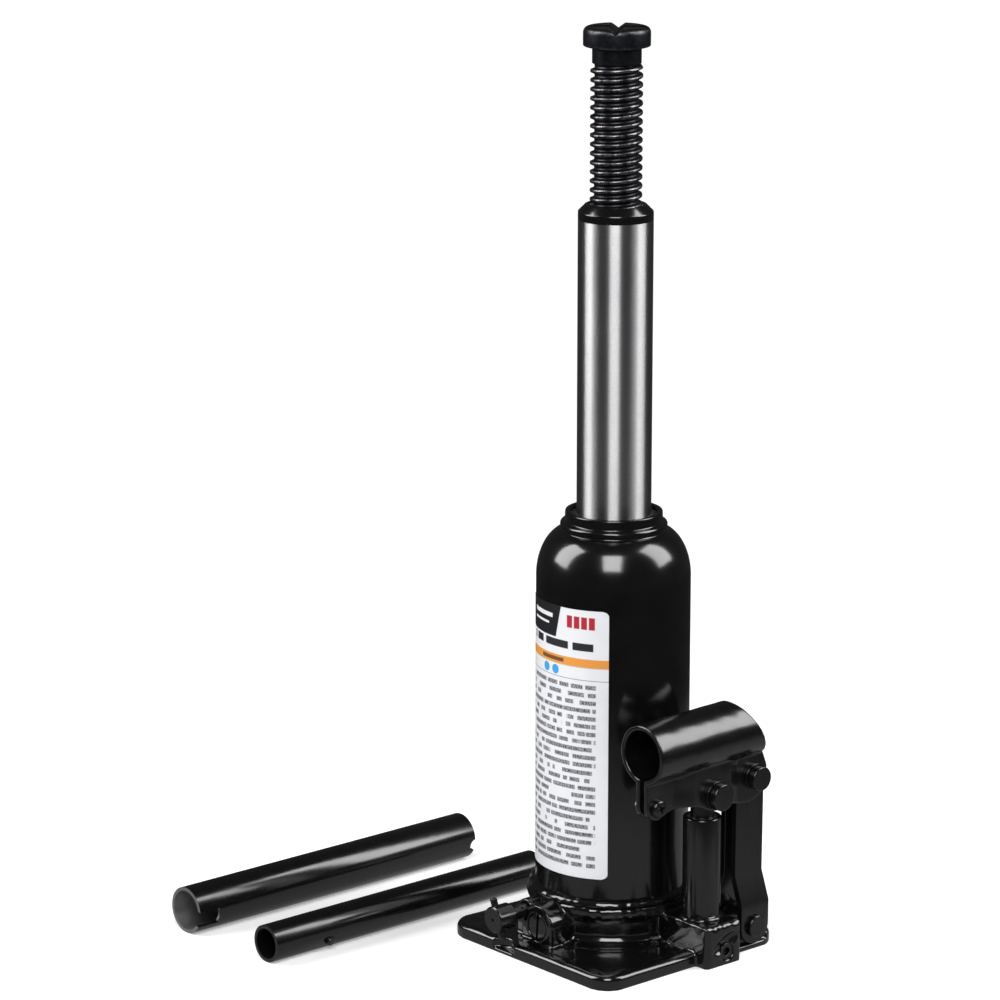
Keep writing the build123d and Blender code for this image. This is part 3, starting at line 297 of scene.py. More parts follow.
# %% Satin black
def satin_black(name):
    finish = Finish(name, ior=1.6)
    mottle = finish.grain(2.4, detail=4.0)
    speck = finish.grain(0.35, detail=2.0)
    finish.set("base_color", finish.blend(mottle, (0.0018, 0.0018, 0.0021), (0.0050, 0.0050, 0.0054)))
    finish.set("roughness", 0.12 + mottle * 0.10 + speck * 0.06)
    finish.relief(mottle * 0.012 + speck * 0.004)
    return finish.material


satin = satin_black("satin_black")

# %% [markdown]
# ## Ground steel
# The ram is ground between wheels, which leaves fine rings around it. Rings scatter
# light up and down but hardly sideways, so a lamp becomes a long upright band with
# crisp sides. That is anisotropy: a constant on the shader, turned a quarter so that
# the spread runs along the ram. The rings also show as fine lines in the roughness.

# %% Steels
def ground_steel(name):
    finish = Finish(name, metallic=1.0, anisotropic=1.0, anisotropic_rotation=0.25)
    rings = finish.grain(0.16, detail=3.0, stretch=(60, 60, 1))
    oil = finish.grain(9.0, detail=3.0, stretch=(1, 1, 2.5))
    pits = finish.grain(0.45, detail=3.0).above(0.52, 0.16)
    steel = finish.blend(oil, (0.47, 0.47, 0.49), (0.56, 0.56, 0.55))
    finish.set("base_color", finish.blend(pits * 0.45, steel, (0.26, 0.26, 0.27)))
    finish.set("roughness", 0.34 + rings * 0.06 + oil * 0.04)
    finish.relief(rings * 0.0022 + pits * 0.0016)
    return finish.material


def machined(name, dark, light, roughness, metallic=1.0, grit=0.8):
    """Turned or drawn metal: two tones, fine grit and a little variation in gloss."""
    finish = Finish(name, metallic=metallic)
    tone = finish.grain(4.0 * grit, detail=4.0)
    scratch = finish.grain(0.3 * grit, detail=2.0, stretch=(1, 1, 8))
    finish.set("base_color", finish.blend(tone, dark, light))
    finish.set("roughness", roughness - 0.06 + tone * 0.12 + scratch * 0.06)
    finish.relief(scratch * 0.004 + tone * 0.006)
    return finish.material


ram_steel = ground_steel("ground_steel")
plain_steel = machined("plain_steel", (0.34, 0.34, 0.35), (0.50, 0.50, 0.50), 0.36)
spring_steel = machined("spring_steel", (0.20, 0.20, 0.21), (0.34, 0.33, 0.32), 0.30, grit=0.5)
# Painted shade: the plunger's steel is coloured nearly black, partly for its oil and partly for its place
# under the ears.
oiled_steel_painted_shade = machined("oiled_steel_painted_shade", (0.030, 0.030, 0.031), (0.070, 0.069, 0.067), 0.30)
copper = machined("copper", (0.62, 0.26, 0.15), (0.78, 0.38, 0.24), 0.34)

# %% [markdown]
# ## Blackened screw
# The extension screw is oil-blackened steel: bluish black in the roots, rubbed bright
# and brownish on the crests of the thread and on the edges of the head, where the load
# and the hand touch it. Distance from the axis tells crest from root, and noise breaks
# the rubbed line up, which needs no painted map.

# %% Black oxide
def black_oxide(name, crest, head_radius, head_low, head_high):
    """Blackened steel, worn where the radius nears the crest and at the head's edges, in mm."""
    finish = Finish(name, metallic=1.0)
    away = (finish.x * finish.x + finish.y * finish.y) ** 0.5
    patch = finish.grain(2.2, detail=4.0)
    on_crest = away.above(crest - 0.45, 0.35) * (1 - finish.z.above(head_low - 8.0, 1.0))
    rim = away.above(head_radius - 0.75, 0.5) * finish.z.above(head_high - 1.6, 1.0)
    top = finish.z.above(head_high - 0.25, 0.2)
    lower_rim = away.above(head_radius - 0.6, 0.4) * (1 - finish.z.above(head_low + 0.5, 0.6))
    rubbed = (on_crest + rim + top * 0.45 + lower_rim * 0.6).clamped() * patch.above(0.38, 0.22)
    oxide = finish.blend(patch, (0.020, 0.022, 0.027), (0.055, 0.058, 0.066))
    rust = finish.grain(1.3, detail=3.0, seed=5.0).above(0.55, 0.15)
    bare = finish.blend(rust, (0.36, 0.34, 0.33), (0.24, 0.13, 0.10))
    finish.set("base_color", finish.blend(rubbed * 0.6, oxide, bare))
    finish.set("roughness", 0.30 + patch * 0.14 - rubbed * 0.05)
    finish.relief(patch * 0.02 + finish.grain(0.4, detail=2.0) * 0.008)
    return finish.material


screw_low, screw_high = span("extension_screw")
SCREW_CREST = 10.75
SCREW_ROOT = 9.0
HEAD_RADIUS = screw_high.x
HEAD_HEIGHT = 8.0
oxide = black_oxide("black_oxide", SCREW_CREST, HEAD_RADIUS, screw_high.z - HEAD_HEIGHT, screw_high.z)

# %% [markdown]
# ## Rubber and plastic
# The filler plug and the wiper are black rubber, dull, with a fine powdery bloom. The
# cup seals inside are a smooth pale plastic. Both are plain shaders with soft mottling.

# %% Rubber and plastic
def soft_black(name, dark, light, roughness):
    finish = Finish(name)
    bloom = finish.grain(1.8, detail=4.0)
    finish.set("base_color", finish.blend(bloom, dark, light))
    finish.set("roughness", roughness + bloom * 0.2)
    finish.relief(bloom * 0.01 + finish.grain(0.3) * 0.006)
    return finish.material


rubber = soft_black("rubber", (0.010, 0.010, 0.010), (0.028, 0.027, 0.026), 0.5)
seal_plastic = soft_black("seal_plastic", (0.55, 0.50, 0.38), (0.68, 0.63, 0.50), 0.3)

# %% [markdown]
# ## The printed label
# The label is a white film wrapped round the tank. Its print is generic: a dark corner
# block, a red bar, a heading made of dark bars, an orange stripe, two blue discs and
# rows of short grey strokes, and no lettering at all. Every mark is a mask worked out
# from two coordinates: the arc length round the tank and the distance below its top.

# %% Label print
def printed_film(name):
    low, high = span("label")
    radius = -low.x
    half = high.y
    finish = Finish(name, ior=1.46)
    angle = finish.node("ShaderNodeMath", {"operation": "ARCTAN2"}, {0: finish.y * -1, 1: finish.x * -1})
    across = angle * radius
    down = high.z - finish.z
    right = half - across
    height = high.z - low.z
    # the corner block, with its slanted edge
    slant = across + down * 0.22
    header = (1 - down.above(13.2, 0.15)) * (1 - slant.above(3.2, 0.2))
    plate = down.between(3.6, 5.6, 0.2) * across.between(-17.0, -1.5, 0.3)
    plate = plate.greater(down.between(7.4, 8.6, 0.2) * across.between(-17.0, -4.0, 0.3))

    def bars(row, spans):
        """Dark bars across one row, each from and to a distance in from the right edge."""
        marks = None
        for start, end in spans:
            mark = right.between(start, end, 0.2)
            marks = mark if marks is None else marks.greater(mark)
        return row * marks

    red = bars(down.between(2.8, 8.2, 0.2), ((3.2, 6.0), (6.6, 9.4), (10.0, 12.8), (13.4, 16.2)))
    heading = bars(down.between(14.0, 17.4, 0.15), ((3.8, 13.4), (15.4, 29.0), (31.0, 37.0), (38.6, 40.4)))
    stripe = down.between(20.6, 24.4, 0.15)
    stripe_bar = down.between(21.6, 23.4, 0.15) * across.between(-9.0, 5.0, 0.3)
    rule = down.between(29.6, 29.95, 0.1) + down.between(24.4, 24.6, 0.1)
    discs = None
    for centre in (-5.6, 0.2):
        from_centre = ((across - centre) * (across - centre) + (down - 27.1) * (down - 27.1)) ** 0.5
        spot = 1 - from_centre.above(1.95, 0.15)
        discs = spot if discs is None else discs.greater(spot)
    row = (down - 31.2) / 3.35
    within = row.fraction().between(0.14, 0.76, 0.08)
    letters = finish.node(
        "ShaderNodeTexNoise", None,
        {
            "Vector": finish.node("ShaderNodeCombineXYZ", None, {0: across * 0.30, 1: row.floor() * 7.31}),
            "Scale": 1.0, "Detail": 0.0,
        },
    )
    strokes = finish.node(
        "ShaderNodeTexNoise", None,
        {
            "Vector": finish.node("ShaderNodeCombineXYZ", None, {0: across * 1.7, 1: down * 0.9}),
            "Scale": 1.0, "Detail": 1.0,
        },
    )
    area = down.between(31.2, height - 3.5, 0.2) * right.between(2.6, 2 * half - 2.6, 0.3)
    text = area * within * letters.above(0.38, 0.04) * (0.62 + strokes.above(0.42, 0.2) * 0.38)
    paper = finish.blend(finish.grain(6.0), (0.60, 0.61, 0.64), (0.66, 0.67, 0.69))
    shade = finish.blend(header, paper, (0.010, 0.010, 0.012))
    shade = finish.blend(plate * header, shade, (0.62, 0.62, 0.64))
    shade = finish.blend(red, shade, (0.38, 0.010, 0.026))
    shade = finish.blend(heading, shade, (0.02, 0.02, 0.022))
    shade = finish.blend(stripe, shade, (0.64, 0.25, 0.035))
    shade = finish.blend(stripe * stripe_bar, shade, (0.14, 0.06, 0.02))
    shade = finish.blend(rule, shade, (0.12, 0.12, 0.13))
    shade = finish.blend(discs, shade, (0.03, 0.28, 0.62))
    shade = finish.blend(text, shade, (0.05, 0.05, 0.06))
    finish.set("base_color", shade)
    finish.set("roughness", 0.34 + finish.grain(2.0) * 0.10)
    finish.relief(finish.grain(5.0, detail=1.0) * 0.02)
    return finish.material


label_film = printed_film("label_film")
print("label film made")

# %% [markdown]
# ## Finishes for the nodes that stay
# Inner parts and small hardware keep their imported meshes, and only take a finish. One
# table pairs each paint slot with its material. The plunger is the one exception: it
# is steel like the ram, but its colour is painted nearly black, partly for a film of oil
# and partly as painted shade for its place under the ears.

# %% Assigning finishes
FINISH_OF = {
    "gloss_black_paint": gloss_enamel,
    "satin_black": satin,
    "black_oxide": oxide,
    "ground_steel": ram_steel,
    "plain_steel": plain_steel,
    "spring_steel": spring_steel,
    "copper": copper,
    "rubber": rubber,
    "seal_plastic": seal_plastic,
    "label_film": label_film,
}
for name, node in nodes.items():
    node.data.materials[0] = FINISH_OF[slot_of[name]]
# The plunger takes the steel whose dark colour is partly painted shade for its place under the ears.
nodes["pump_plunger"].data.materials[0] = oiled_steel_painted_shade
print("nodes finished", len(nodes))

# %% [markdown]
# ## Tools for round parts
# Most of a jack is turned or welded from tube, so most pieces are a section spun round
# an axis. The section is a closed list of (radius, height) points, with arcs for every
# rounded edge. A ripple function may push each point in or out as it goes round, which
# is how a weld bead gets its lumps.

# %% Sections and lathe
def arc(centre, radius, start, end, steps=6, rise=None):
    """Points on an arc round centre in a section, from start to end in degrees."""
    points = []
    for i in range(steps + 1):
        turn = math.radians(start + (end - start) * i / steps)
        tall = radius if rise is None else rise
        points.append((centre[0] + radius * math.cos(turn), centre[1] + tall * math.sin(turn)))
    return points


def smoothed(mesh, sharp=34.0):
    """Smooth shading, except over edges sharper than this many degrees."""
    mesh.shade_smooth()
    mesh.set_sharp_from_angle(angle=math.radians(sharp))
    return mesh


def lathe(name, section, columns=192, centre=(0.0, 0.0), ripple=None):
    """Spins a closed section, in mm, round an upright axis through centre."""
    points = np.array(section)
    turns = np.linspace(0, 2 * math.pi, columns, endpoint=False)
    radius, height = points[:, 0][None, :], points[:, 1][None, :]
    turn = turns[:, None]
    if ripple is not None:
        radius, height = ripple(turn, radius, height)
    grid = np.stack(np.broadcast_arrays(
        centre[0] + radius * np.cos(turn), centre[1] + radius * np.sin(turn), height + 0 * turn
    ), axis=-1)
    rows = len(points)
    faces = []
    for column in range(columns):
        after = (column + 1) % columns
        for row in range(rows):
            up = (row + 1) % rows
            faces.append((column * rows + row, after * rows + row, after * rows + up, column * rows + up))
    made = bmesh.new()
    corners = [made.verts.new(point) for point in grid.reshape(-1, 3) * MM]
    for face in faces:
        made.faces.new([corners[i] for i in face])
    bmesh.ops.remove_doubles(made, verts=made.verts, dist=1e-4 * MM)
    bmesh.ops.recalc_face_normals(made, faces=made.faces)
    return finished(name, made)


def finished(name, made, sharp=34.0):
    """Turns a bmesh into a smoothly shaded mesh."""
    mesh = bpy.data.meshes.new(name)
    made.to_mesh(mesh)
    made.free()
    return smoothed(mesh, sharp)


def stand_for(mesh, name, material, *stood_for):
    """Shows a finished mesh in place of some nodes, on the first one's body and with the given finish."""
    shown = bpy.data.objects.new(name, mesh)
    bpy.context.scene.collection.objects.link(shown)
    mesh.materials.clear()
    mesh.materials.append(material)
    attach(shown, nodes[stood_for[0]]["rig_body"])
    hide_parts(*stood_for)
    print(name, len(mesh.polygons), "faces")
    return shown


def lumps(points, size, seed, waves=28):
    """Soft lumps of about this size at each point, as numbers around 0 of about unit height."""
    draw = np.random.default_rng(seed)
    way = draw.normal(size=(waves, 3))
    way /= np.linalg.norm(way, axis=1)[:, None]
    length = size * draw.uniform(0.7, 1.6, waves)
    start = draw.uniform(0, 2 * math.pi, waves)
    return np.sin(points @ (way / length[:, None]).T * 2 * math.pi + start).sum(1) * math.sqrt(2 / waves)


# %% [markdown]
# ## The oil tank
# The tank is a steel tube drawn in at the top to a domed shoulder, and welded to the
# base by a fat bead all round its foot. A lathe gives the tube its true wall and dome;
# the bead is part of the same section, and its ripple follows the welder's steps. The
# filler hole is cut afterwards, so that it is really there when the plug comes out.

# %% Tank
def cut_away(mesh, tool):
    """The mesh less the tool, both closed, by an exact boolean."""
    kept = bpy.data.objects.new("kept", mesh)
    cutter = bpy.data.objects.new("cutter", tool)
    for made in (kept, cutter):
        bpy.context.scene.collection.objects.link(made)
    cut = kept.modifiers.new("cut", "BOOLEAN")
    cut.operation = "DIFFERENCE"
    cut.solver = "EXACT"
    cut.object = cutter
    bpy.context.view_layer.update()
    result = bpy.data.meshes.new_from_object(kept.evaluated_get(bpy.context.evaluated_depsgraph_get()))
    bpy.data.objects.remove(kept)
    bpy.data.objects.remove(cutter)
    return smoothed(result)


def bar_along(bearing, height, radius, reach, columns=48):
    """A closed bar that points outward at a bearing in degrees, for cutting a hole."""
    made = bmesh.new()
    out = Vector((math.cos(math.radians(bearing)), math.sin(math.radians(bearing)), 0))
    side = Vector((-out.y, out.x, 0))
    rings = []
    for far in (reach[0], reach[1]):
        ring = []
        for i in range(columns):
            turn = 2 * math.pi * i / columns
            level = Vector((0, 0, height + radius * math.sin(turn)))
            ring.append(made.verts.new((out * far + side * radius * math.cos(turn) + level) * MM))
        rings.append(ring)
    for i in range(columns):
        j = (i + 1) % columns
        made.faces.new((rings[0][i], rings[0][j], rings[1][j], rings[1][i]))
    made.faces.new(rings[0][::-1])
    made.faces.new(rings[1])
    bmesh.ops.recalc_face_normals(made, faces=made.faces)
    return finished("bar", made)


WALL = 2.2
WELD = 3.0
SHOULDER_RUN = 13.0
SHOULDER_RISE = 20.5
STRAIGHT_TOP = 156.5
BEAD_EDGE = 0.35
WALL_STEPS = 12
FILLER_BEARING = 45.0
FILLER_HOLE = 4.6
tank_low, tank_high = span("reservoir_tank")
tank_radius = tank_high.x - WELD
neck = span("top_nut")[1].x
foot = tank_low.z


def bead_ripple(seed, reach, low, high, depth):
    """A ripple for a weld bead between two heights, and nothing elsewhere."""
    def ripple(turn, radius, height):
        spots = np.stack(np.broadcast_arrays(
            reach * np.cos(turn), reach * np.sin(turn), height * 1.0
        ), axis=-1)
        shape = spots.shape[:2]
        bumps = lumps(spots.reshape(-1, 3), 7.0, seed).reshape(shape) * 0.5
        bumps = bumps + lumps(spots.reshape(-1, 3), 3.2, seed + 1).reshape(shape) * 0.15
        steps = np.cos(turn * reach / 0.62 + 0.8 * np.sin(3 * turn)) * 0.10
        part = np.clip((height - low) / 0.6, 0, 1) * np.clip((high - height) / 0.6, 0, 1)
        return radius + part * depth * (bumps + steps - 0.6), height
    return ripple


section = [(tank_radius - WALL, foot), (tank_radius + WELD - 0.5, foot)]
section += arc((tank_radius + 0.6, foot + 0.2), WELD - 0.6, 0, 78, 8)
section += [(tank_radius + 0.12, foot + WELD)]
wall_foot = foot + WELD + BEAD_EDGE
for i in range(WALL_STEPS + 1):
    section.append((tank_radius, wall_foot + i * (STRAIGHT_TOP - wall_foot) / WALL_STEPS))
dome = arc((tank_radius - SHOULDER_RUN, STRAIGHT_TOP), SHOULDER_RUN, 0, 90, 40, rise=SHOULDER_RISE)
section += [point for point in dome[1:] if point[0] > neck - 0.4]
last = section[-1]
section += [(neck - 1.2, last[1] + 0.2), (neck - 1.2, last[1] - WALL)]
inner_run = SHOULDER_RUN - WALL
inner_rise = SHOULDER_RISE - WALL
inner = arc((tank_radius - SHOULDER_RUN, STRAIGHT_TOP), inner_run, 90, 0, 20, rise=inner_rise)
section += [point for point in inner if point[0] > neck - 0.9 and point[1] < last[1] - WALL]
tank_ripple = bead_ripple(3, tank_radius + WELD, foot - 1, foot + WELD + 0.2, 0.32)
tank = lathe("tank", section, 288, ripple=tank_ripple)
plug_low, plug_high = span("oil_filler_plug")
plug_height = (plug_low.z + plug_high.z) / 2
filler_bar = bar_along(FILLER_BEARING, plug_height, FILLER_HOLE, (tank_radius - 6, tank_radius + 4))
tank = cut_away(tank, filler_bar)
stand_for(tank, "oil_tank", gloss_enamel, "reservoir_tank")

# %% [markdown]
# ## The top nut
# A turned ring screws the tank down: a plain band, a groove, and a thin lip round the
# recess that holds the rubber wiper. Its corners are rounded by a thick coat of paint,
# and it is exactly those rounded corners that catch the light as fine bright rings.

# %% Top nut
nut_low, nut_high = span("top_nut")
RECESS = 18.1
LIP = 20.25
RING_HEIGHT = 3.4
RECESS_DEPTH = 3.3
RAM_HOLE = 15.8
SKIRT_INNER = 17.2
SKIRT_OUTER = 19.9
seat = tank_high.z
section = [(SKIRT_INNER, nut_low.z), (SKIRT_OUTER, nut_low.z), (SKIRT_OUTER, seat - 0.6)]
section += arc((neck + 0.55, seat + 0.5), 0.6, 250, 180, 5)
section += arc((neck - 1.3, seat + RING_HEIGHT - 1.3), 1.3, 0, 80, 7)
section += arc((LIP + 0.75, seat + RING_HEIGHT + 0.65), 0.65, 260, 180, 5)
section += arc((LIP - 0.7, nut_high.z - 0.7), 0.7, 0, 90, 6)
section += arc((RECESS + 0.5, nut_high.z - 0.5), 0.5, 90, 180, 4)
section += [(RECESS, nut_high.z - RECESS_DEPTH), (RAM_HOLE, nut_high.z - RECESS_DEPTH)]
section += [(RAM_HOLE, nut_low.z + 6), (SKIRT_INNER, nut_low.z + 5.5)]


def uneven(turn, radius, height):
    """Paint that is a little thicker here and there."""
    spots = np.stack(np.broadcast_arrays(22 * np.cos(turn), 22 * np.sin(turn), height * 1.0), axis=-1)
    bumps = lumps(spots.reshape(-1, 3), 9.0, 11).reshape(spots.shape[:2])
    return radius + 0.05 * bumps * (radius > 18.5) * (radius < neck), height


stand_for(lathe("nut", section, 256, ripple=uneven), "gland_nut", gloss_enamel, "top_nut")

# %% [markdown]
# ## The ram
# The ram is a hollow ground bar. Its top has a wide bevel, and the last few
# millimetres were masked badly and took paint. The paint is a second finish on the
# same piece: the faces of that band are given to it, which keeps the line crisp.

# %% Ram
def paint_faces(mesh, material, chosen):
    """Gives a second finish to the faces whose centre, in mm, is chosen."""
    mesh.materials.append(material)
    index = len(mesh.materials) - 1
    for face in mesh.polygons:
        if chosen(face.center / MM):
            face.material_index = index


ram_low, ram_high = span("ram")
RAM_BEVEL = 3.0
PAINTED = 3.2
BORE = 11.05
RELIEF = 12.9
THREADED = 22.5
ram_radius = ram_high.x
bevel_low = ram_high.z - RAM_BEVEL
section = [(RELIEF, ram_low.z), (ram_radius - 0.4, ram_low.z), (ram_radius, ram_low.z + 0.4)]
paint_line = bevel_low - PAINTED
section += [(ram_radius, ram_low.z + 0.4 + (paint_line - ram_low.z - 0.4) * (i + 1) / 16) for i in range(16)]
section += [(ram_radius, paint_line + 0.05)]
section += arc((ram_radius - 0.9, bevel_low - 0.3), 0.9, 0, 42, 6)
section += arc((ram_radius - RAM_BEVEL - 0.1, ram_high.z - 0.45), 0.45, 45, 90, 4)
section += [(BORE + 0.6, ram_high.z), (BORE, ram_high.z - 0.6)]
section += [(BORE, ram_high.z - THREADED), (RELIEF, ram_high.z - THREADED - 2.0)]
ram = stand_for(lathe("ram", section, 256), "ground_ram", ram_steel, "ram")
paint_faces(ram.data, gloss_enamel, lambda c: c.z > paint_line)

# %% [markdown]
# ## The extension screw
# A real thread is a helix, and it is what the eye checks first. The thread's surface
# is a grid that climbs one pitch for each turn, so the column after the last one joins
# the first one a pitch higher up. Rows that would pass an end are pressed flat against
# it, and the crest fades out there, as a cut thread runs out into its shoulder.

# %% Thread
def thread(root, crest, pitch, low, high, end_radius, columns=96, samples=12, flat=0.40):
    """A closed right-hand thread, in mm, round the upright axis through the origin."""
    made = bmesh.new()
    turns = math.ceil((high - low) / pitch) + 2
    rows = turns * samples
    grid = []
    for row in range(rows):
        share = (row % samples) / samples
        swell = 0.5 + 0.5 * math.cos(2 * math.pi * share)
        lift = min(1.0, max(0.0, (swell - 0.5 + flat) / (2 * flat)))
        lift = lift * lift * (3 - 2 * lift)
        line = []
        for column in range(columns):
            free = low + pitch * (row / samples - 1 + column / columns)
            height = min(high, max(low, free))
            rise = min(1.0, max(0.0, (height - low) / pitch))
            fade = rise * min(1.0, max(0.0, (high - height) / (0.7 * pitch)))
            near_end = min(1.0, max(0.0, (height - high + 1.2) / 1.2))
            floor = root + (end_radius - root) * near_end
            reach = floor + max(0.0, crest - floor) * lift * fade
            turn = 2 * math.pi * column / columns
            line.append(made.verts.new(Vector((reach * math.cos(turn), reach * math.sin(turn), height)) * MM))
        grid.append(line)
    for row in range(rows - 1):
        for column in range(columns):
            if column + 1 < columns:
                near, far = grid[row][column + 1], grid[row + 1][column + 1]
            elif row + 1 + samples < rows:
                near, far = grid[row + samples][0], grid[row + 1 + samples][0]
            else:
                continue
            made.faces.new((grid[row][column], near, far, grid[row + 1][column]))
    bmesh.ops.remove_doubles(made, verts=made.verts, dist=1e-3 * MM)
    bmesh.ops.dissolve_degenerate(made, edges=made.edges, dist=1e-3 * MM)
    open_edges = [edge for edge in made.edges if edge.is_boundary]
    bmesh.ops.holes_fill(made, edges=open_edges, sides=0)
    bmesh.ops.recalc_face_normals(made, faces=made.faces)
    return made


SCREW_PITCH = 3.75
NECK_RADIUS = 10.05
NECK_LENGTH = 6.0
TAIL_RADIUS = 6.0
head_low = screw_high.z - HEAD_HEIGHT
thread_high = head_low - NECK_LENGTH
thread_low = screw_low.z + 7.3
cut_thread = thread(SCREW_ROOT, SCREW_CREST, SCREW_PITCH, thread_low, thread_high, NECK_RADIUS)
print("thread turns", round((thread_high - thread_low) / SCREW_PITCH, 1))

# %% [markdown]
# The head is turned with soft edges, and two vee grooves are milled across it so that
# the load can't slide off. Grooves are cut as a boolean with two long wedges; their
# lips are then rounded, because the wear on a real head starts there.

# %% Head and grooves
def wedge(bearing, top, width, depth, reach):
    """A closed wedge for cutting a vee groove across the axis, in mm."""
    made = bmesh.new()
    along = Vector((math.cos(math.radians(bearing)), math.sin(math.radians(bearing)), 0))
    side = Vector((-along.y, along.x, 0))
    spill = 1.0
    wide = width / 2 * (depth + spill) / depth
    rings = []
    for far in (-reach, reach):
        lip = Vector((0, 0, top + spill))
        spots = [Vector((0, 0, top - depth)), side * wide + lip, side * -wide + lip]
        rings.append([made.verts.new((spot + along * far) * MM) for spot in spots])
    for i in range(3):
        j = (i + 1) % 3
        made.faces.new((rings[0][i], rings[0][j], rings[1][j], rings[1][i]))
    made.faces.new(rings[0][::-1])
    made.faces.new(rings[1])
    bmesh.ops.recalc_face_normals(made, faces=made.faces)
    return finished("wedge", made)


def rounded(made, width, sharp=28.0, segments=2):
    """Rounds a bmesh's edges that are sharper than this many degrees, by a width in mm."""
    limit = math.radians(sharp)
    edges = [e for e in made.edges if len(e.link_faces) == 2 and e.calc_face_angle() > limit]
    bmesh.ops.bevel(
        made, geom=edges, offset=width * MM, offset_type="OFFSET", segments=segments,
        profile=0.5, affect="EDGES", clamp_overlap=True,
    )
    return made


GROOVE_WIDTH = 6.0
GROOVE_DEPTH = 2.4
HEAD_ROUND = 2.4
section = [(0.0, head_low - NECK_LENGTH - 0.8), (NECK_RADIUS, head_low - NECK_LENGTH - 0.8)]
section += arc((NECK_RADIUS + 1.2, head_low - 1.2), 1.2, 180, 90, 6)
section += arc((HEAD_RADIUS - 0.7, head_low + 0.7), 0.7, -90, 0, 5)
section += arc((HEAD_RADIUS - HEAD_ROUND, screw_high.z - HEAD_ROUND), HEAD_ROUND, 0, 90, 12)
section += [(6.0, screw_high.z), (0.0, screw_high.z)]
head = lathe("head", section, 160)
for bearing in (45.0, 135.0):
    head = cut_away(head, wedge(bearing, screw_high.z, GROOVE_WIDTH, GROOVE_DEPTH, HEAD_RADIUS + 3))
made = bmesh.new()
made.from_mesh(head)
rounded(made, 0.35, sharp=24.0)
head = finished("head", made)
cut_thread.from_mesh(head)
section = [(0.0, screw_low.z), (TAIL_RADIUS - 0.5, screw_low.z), (TAIL_RADIUS, screw_low.z + 0.5)]
section += [(TAIL_RADIUS, thread_low + 0.4), (0.0, thread_low + 0.4)]
cut_thread.from_mesh(lathe("tail", section, 64))
stand_for(finished("screw", cut_thread, 50.0), "lifting_screw", oxide, "extension_screw")

# %% [markdown]
# ## The cast base
# The base is iron cast in sand: nothing on it is sharp, and its flats are never flat.
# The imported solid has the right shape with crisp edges, so a copy is wrapped in a fine
# voxel skin, relaxed until the edges are round, and pushed in and out by soft lumps.
# The underside stays flat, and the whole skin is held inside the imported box.

# %% Casting tools
def points_of(mesh):
    """A mesh's points and normals as arrays, in mm."""
    count = len(mesh.vertices)
    points, ways = np.empty(count * 3, np.float32), np.empty(count * 3, np.float32)
    mesh.vertices.foreach_get("co", points)
    mesh.vertex_normals.foreach_get("vector", ways)
    return points.reshape(-1, 3).astype(float) / MM, ways.reshape(-1, 3).astype(float)


def set_points(mesh, points):
    mesh.vertices.foreach_set("co", (points * MM).astype(np.float32).ravel())
    mesh.update()


def skinned(node, voxel, relax):
    """A voxel skin over a node's mesh, relaxed so that its edges are rounded."""
    made = bmesh.new()
    made.from_mesh(nodes[node].data)
    bmesh.ops.remove_doubles(made, verts=made.verts, dist=0.002 * MM)
    mesh = finished(node, made)
    holder = bpy.data.objects.new("holder", mesh)
    bpy.context.scene.collection.objects.link(holder)
    skin = holder.modifiers.new("skin", "REMESH")
    skin.mode = "VOXEL"
    skin.voxel_size = voxel * MM
    ease = holder.modifiers.new("ease", "SMOOTH")
    ease.factor = 0.5
    ease.iterations = relax
    bpy.context.view_layer.update()
    result = bpy.data.meshes.new_from_object(holder.evaluated_get(bpy.context.evaluated_depsgraph_get()))
    bpy.data.objects.remove(holder)
    return result


def kept_inside(points, node):
    low, high = span(node)
    return np.clip(points, np.array(low), np.array(high))


# %% [markdown]
# Above the plug in the pump block there is a slanted oval hollow, where a core was
# pulled. It is a smooth dish pressed into the front face of the skin.

# %% Base
base_skin = skinned("base", 0.55, 6)
points, ways = points_of(base_skin)
block_front = span("base")[0].y
HOLLOW_CENTRE = (7.2, 9.6)
HOLLOW_HALF = (7.9, 3.3)
HOLLOW_LEAN = math.radians(25.0)
HOLLOW_DEPTH = 2.0
COLLAR_FOOT = 15.0
BOSS_CENTRE = (-38.0, -2.0)
BOSS_REACH = 11.0
from_x, from_z = points[:, 0] - HOLLOW_CENTRE[0], points[:, 2] - HOLLOW_CENTRE[1]
along = (from_x * math.cos(HOLLOW_LEAN) + from_z * math.sin(HOLLOW_LEAN)) / HOLLOW_HALF[0]
beside = (from_z * math.cos(HOLLOW_LEAN) - from_x * math.sin(HOLLOW_LEAN)) / HOLLOW_HALF[1]
dish = np.clip(1 - along**2 - beside**2, 0, 1) ** 0.75
on_face = np.clip((block_front + 2.5 - points[:, 1]) / 1.5, 0, 1)
points[:, 1] += dish * on_face * HOLLOW_DEPTH
clear_of_floor = np.clip((points[:, 2] - 0.4) / 2.0, 0, 1)
outside = np.clip((np.hypot(points[:, 0], points[:, 1]) - 32.8) / 1.0, 0, 1)
swell = 0.08 * lumps(points, 14.0, 21) + 0.015 * lumps(points, 6.0, 22)
from_drum = np.hypot(points[:, 0], points[:, 1])
on_collar = np.clip((points[:, 2] - COLLAR_FOOT) / 1.5, 0, 1) * np.clip((from_drum - 33.0) / 1.0, 0, 1)
from_boss = np.hypot(points[:, 0] - BOSS_CENTRE[0], points[:, 1] - BOSS_CENTRE[1])
beside_boss = np.clip((from_boss - BOSS_REACH) / 3.0, 0, 1)
swell += 0.12 * on_collar * beside_boss * lumps(points, 5.0, 23)
points += ways * (swell * clear_of_floor * outside)[:, None]
set_points(base_skin, kept_inside(points, "base"))
stand_for(smoothed(base_skin, 60.0), "cast_base", cast_enamel, "base")

# %% [markdown]
# ## The pump cylinder
# A short tube stands in the block, welded round its foot by a lumpy bead. It is spun
# like the tank, with the same ripple, round the pump's own axis.

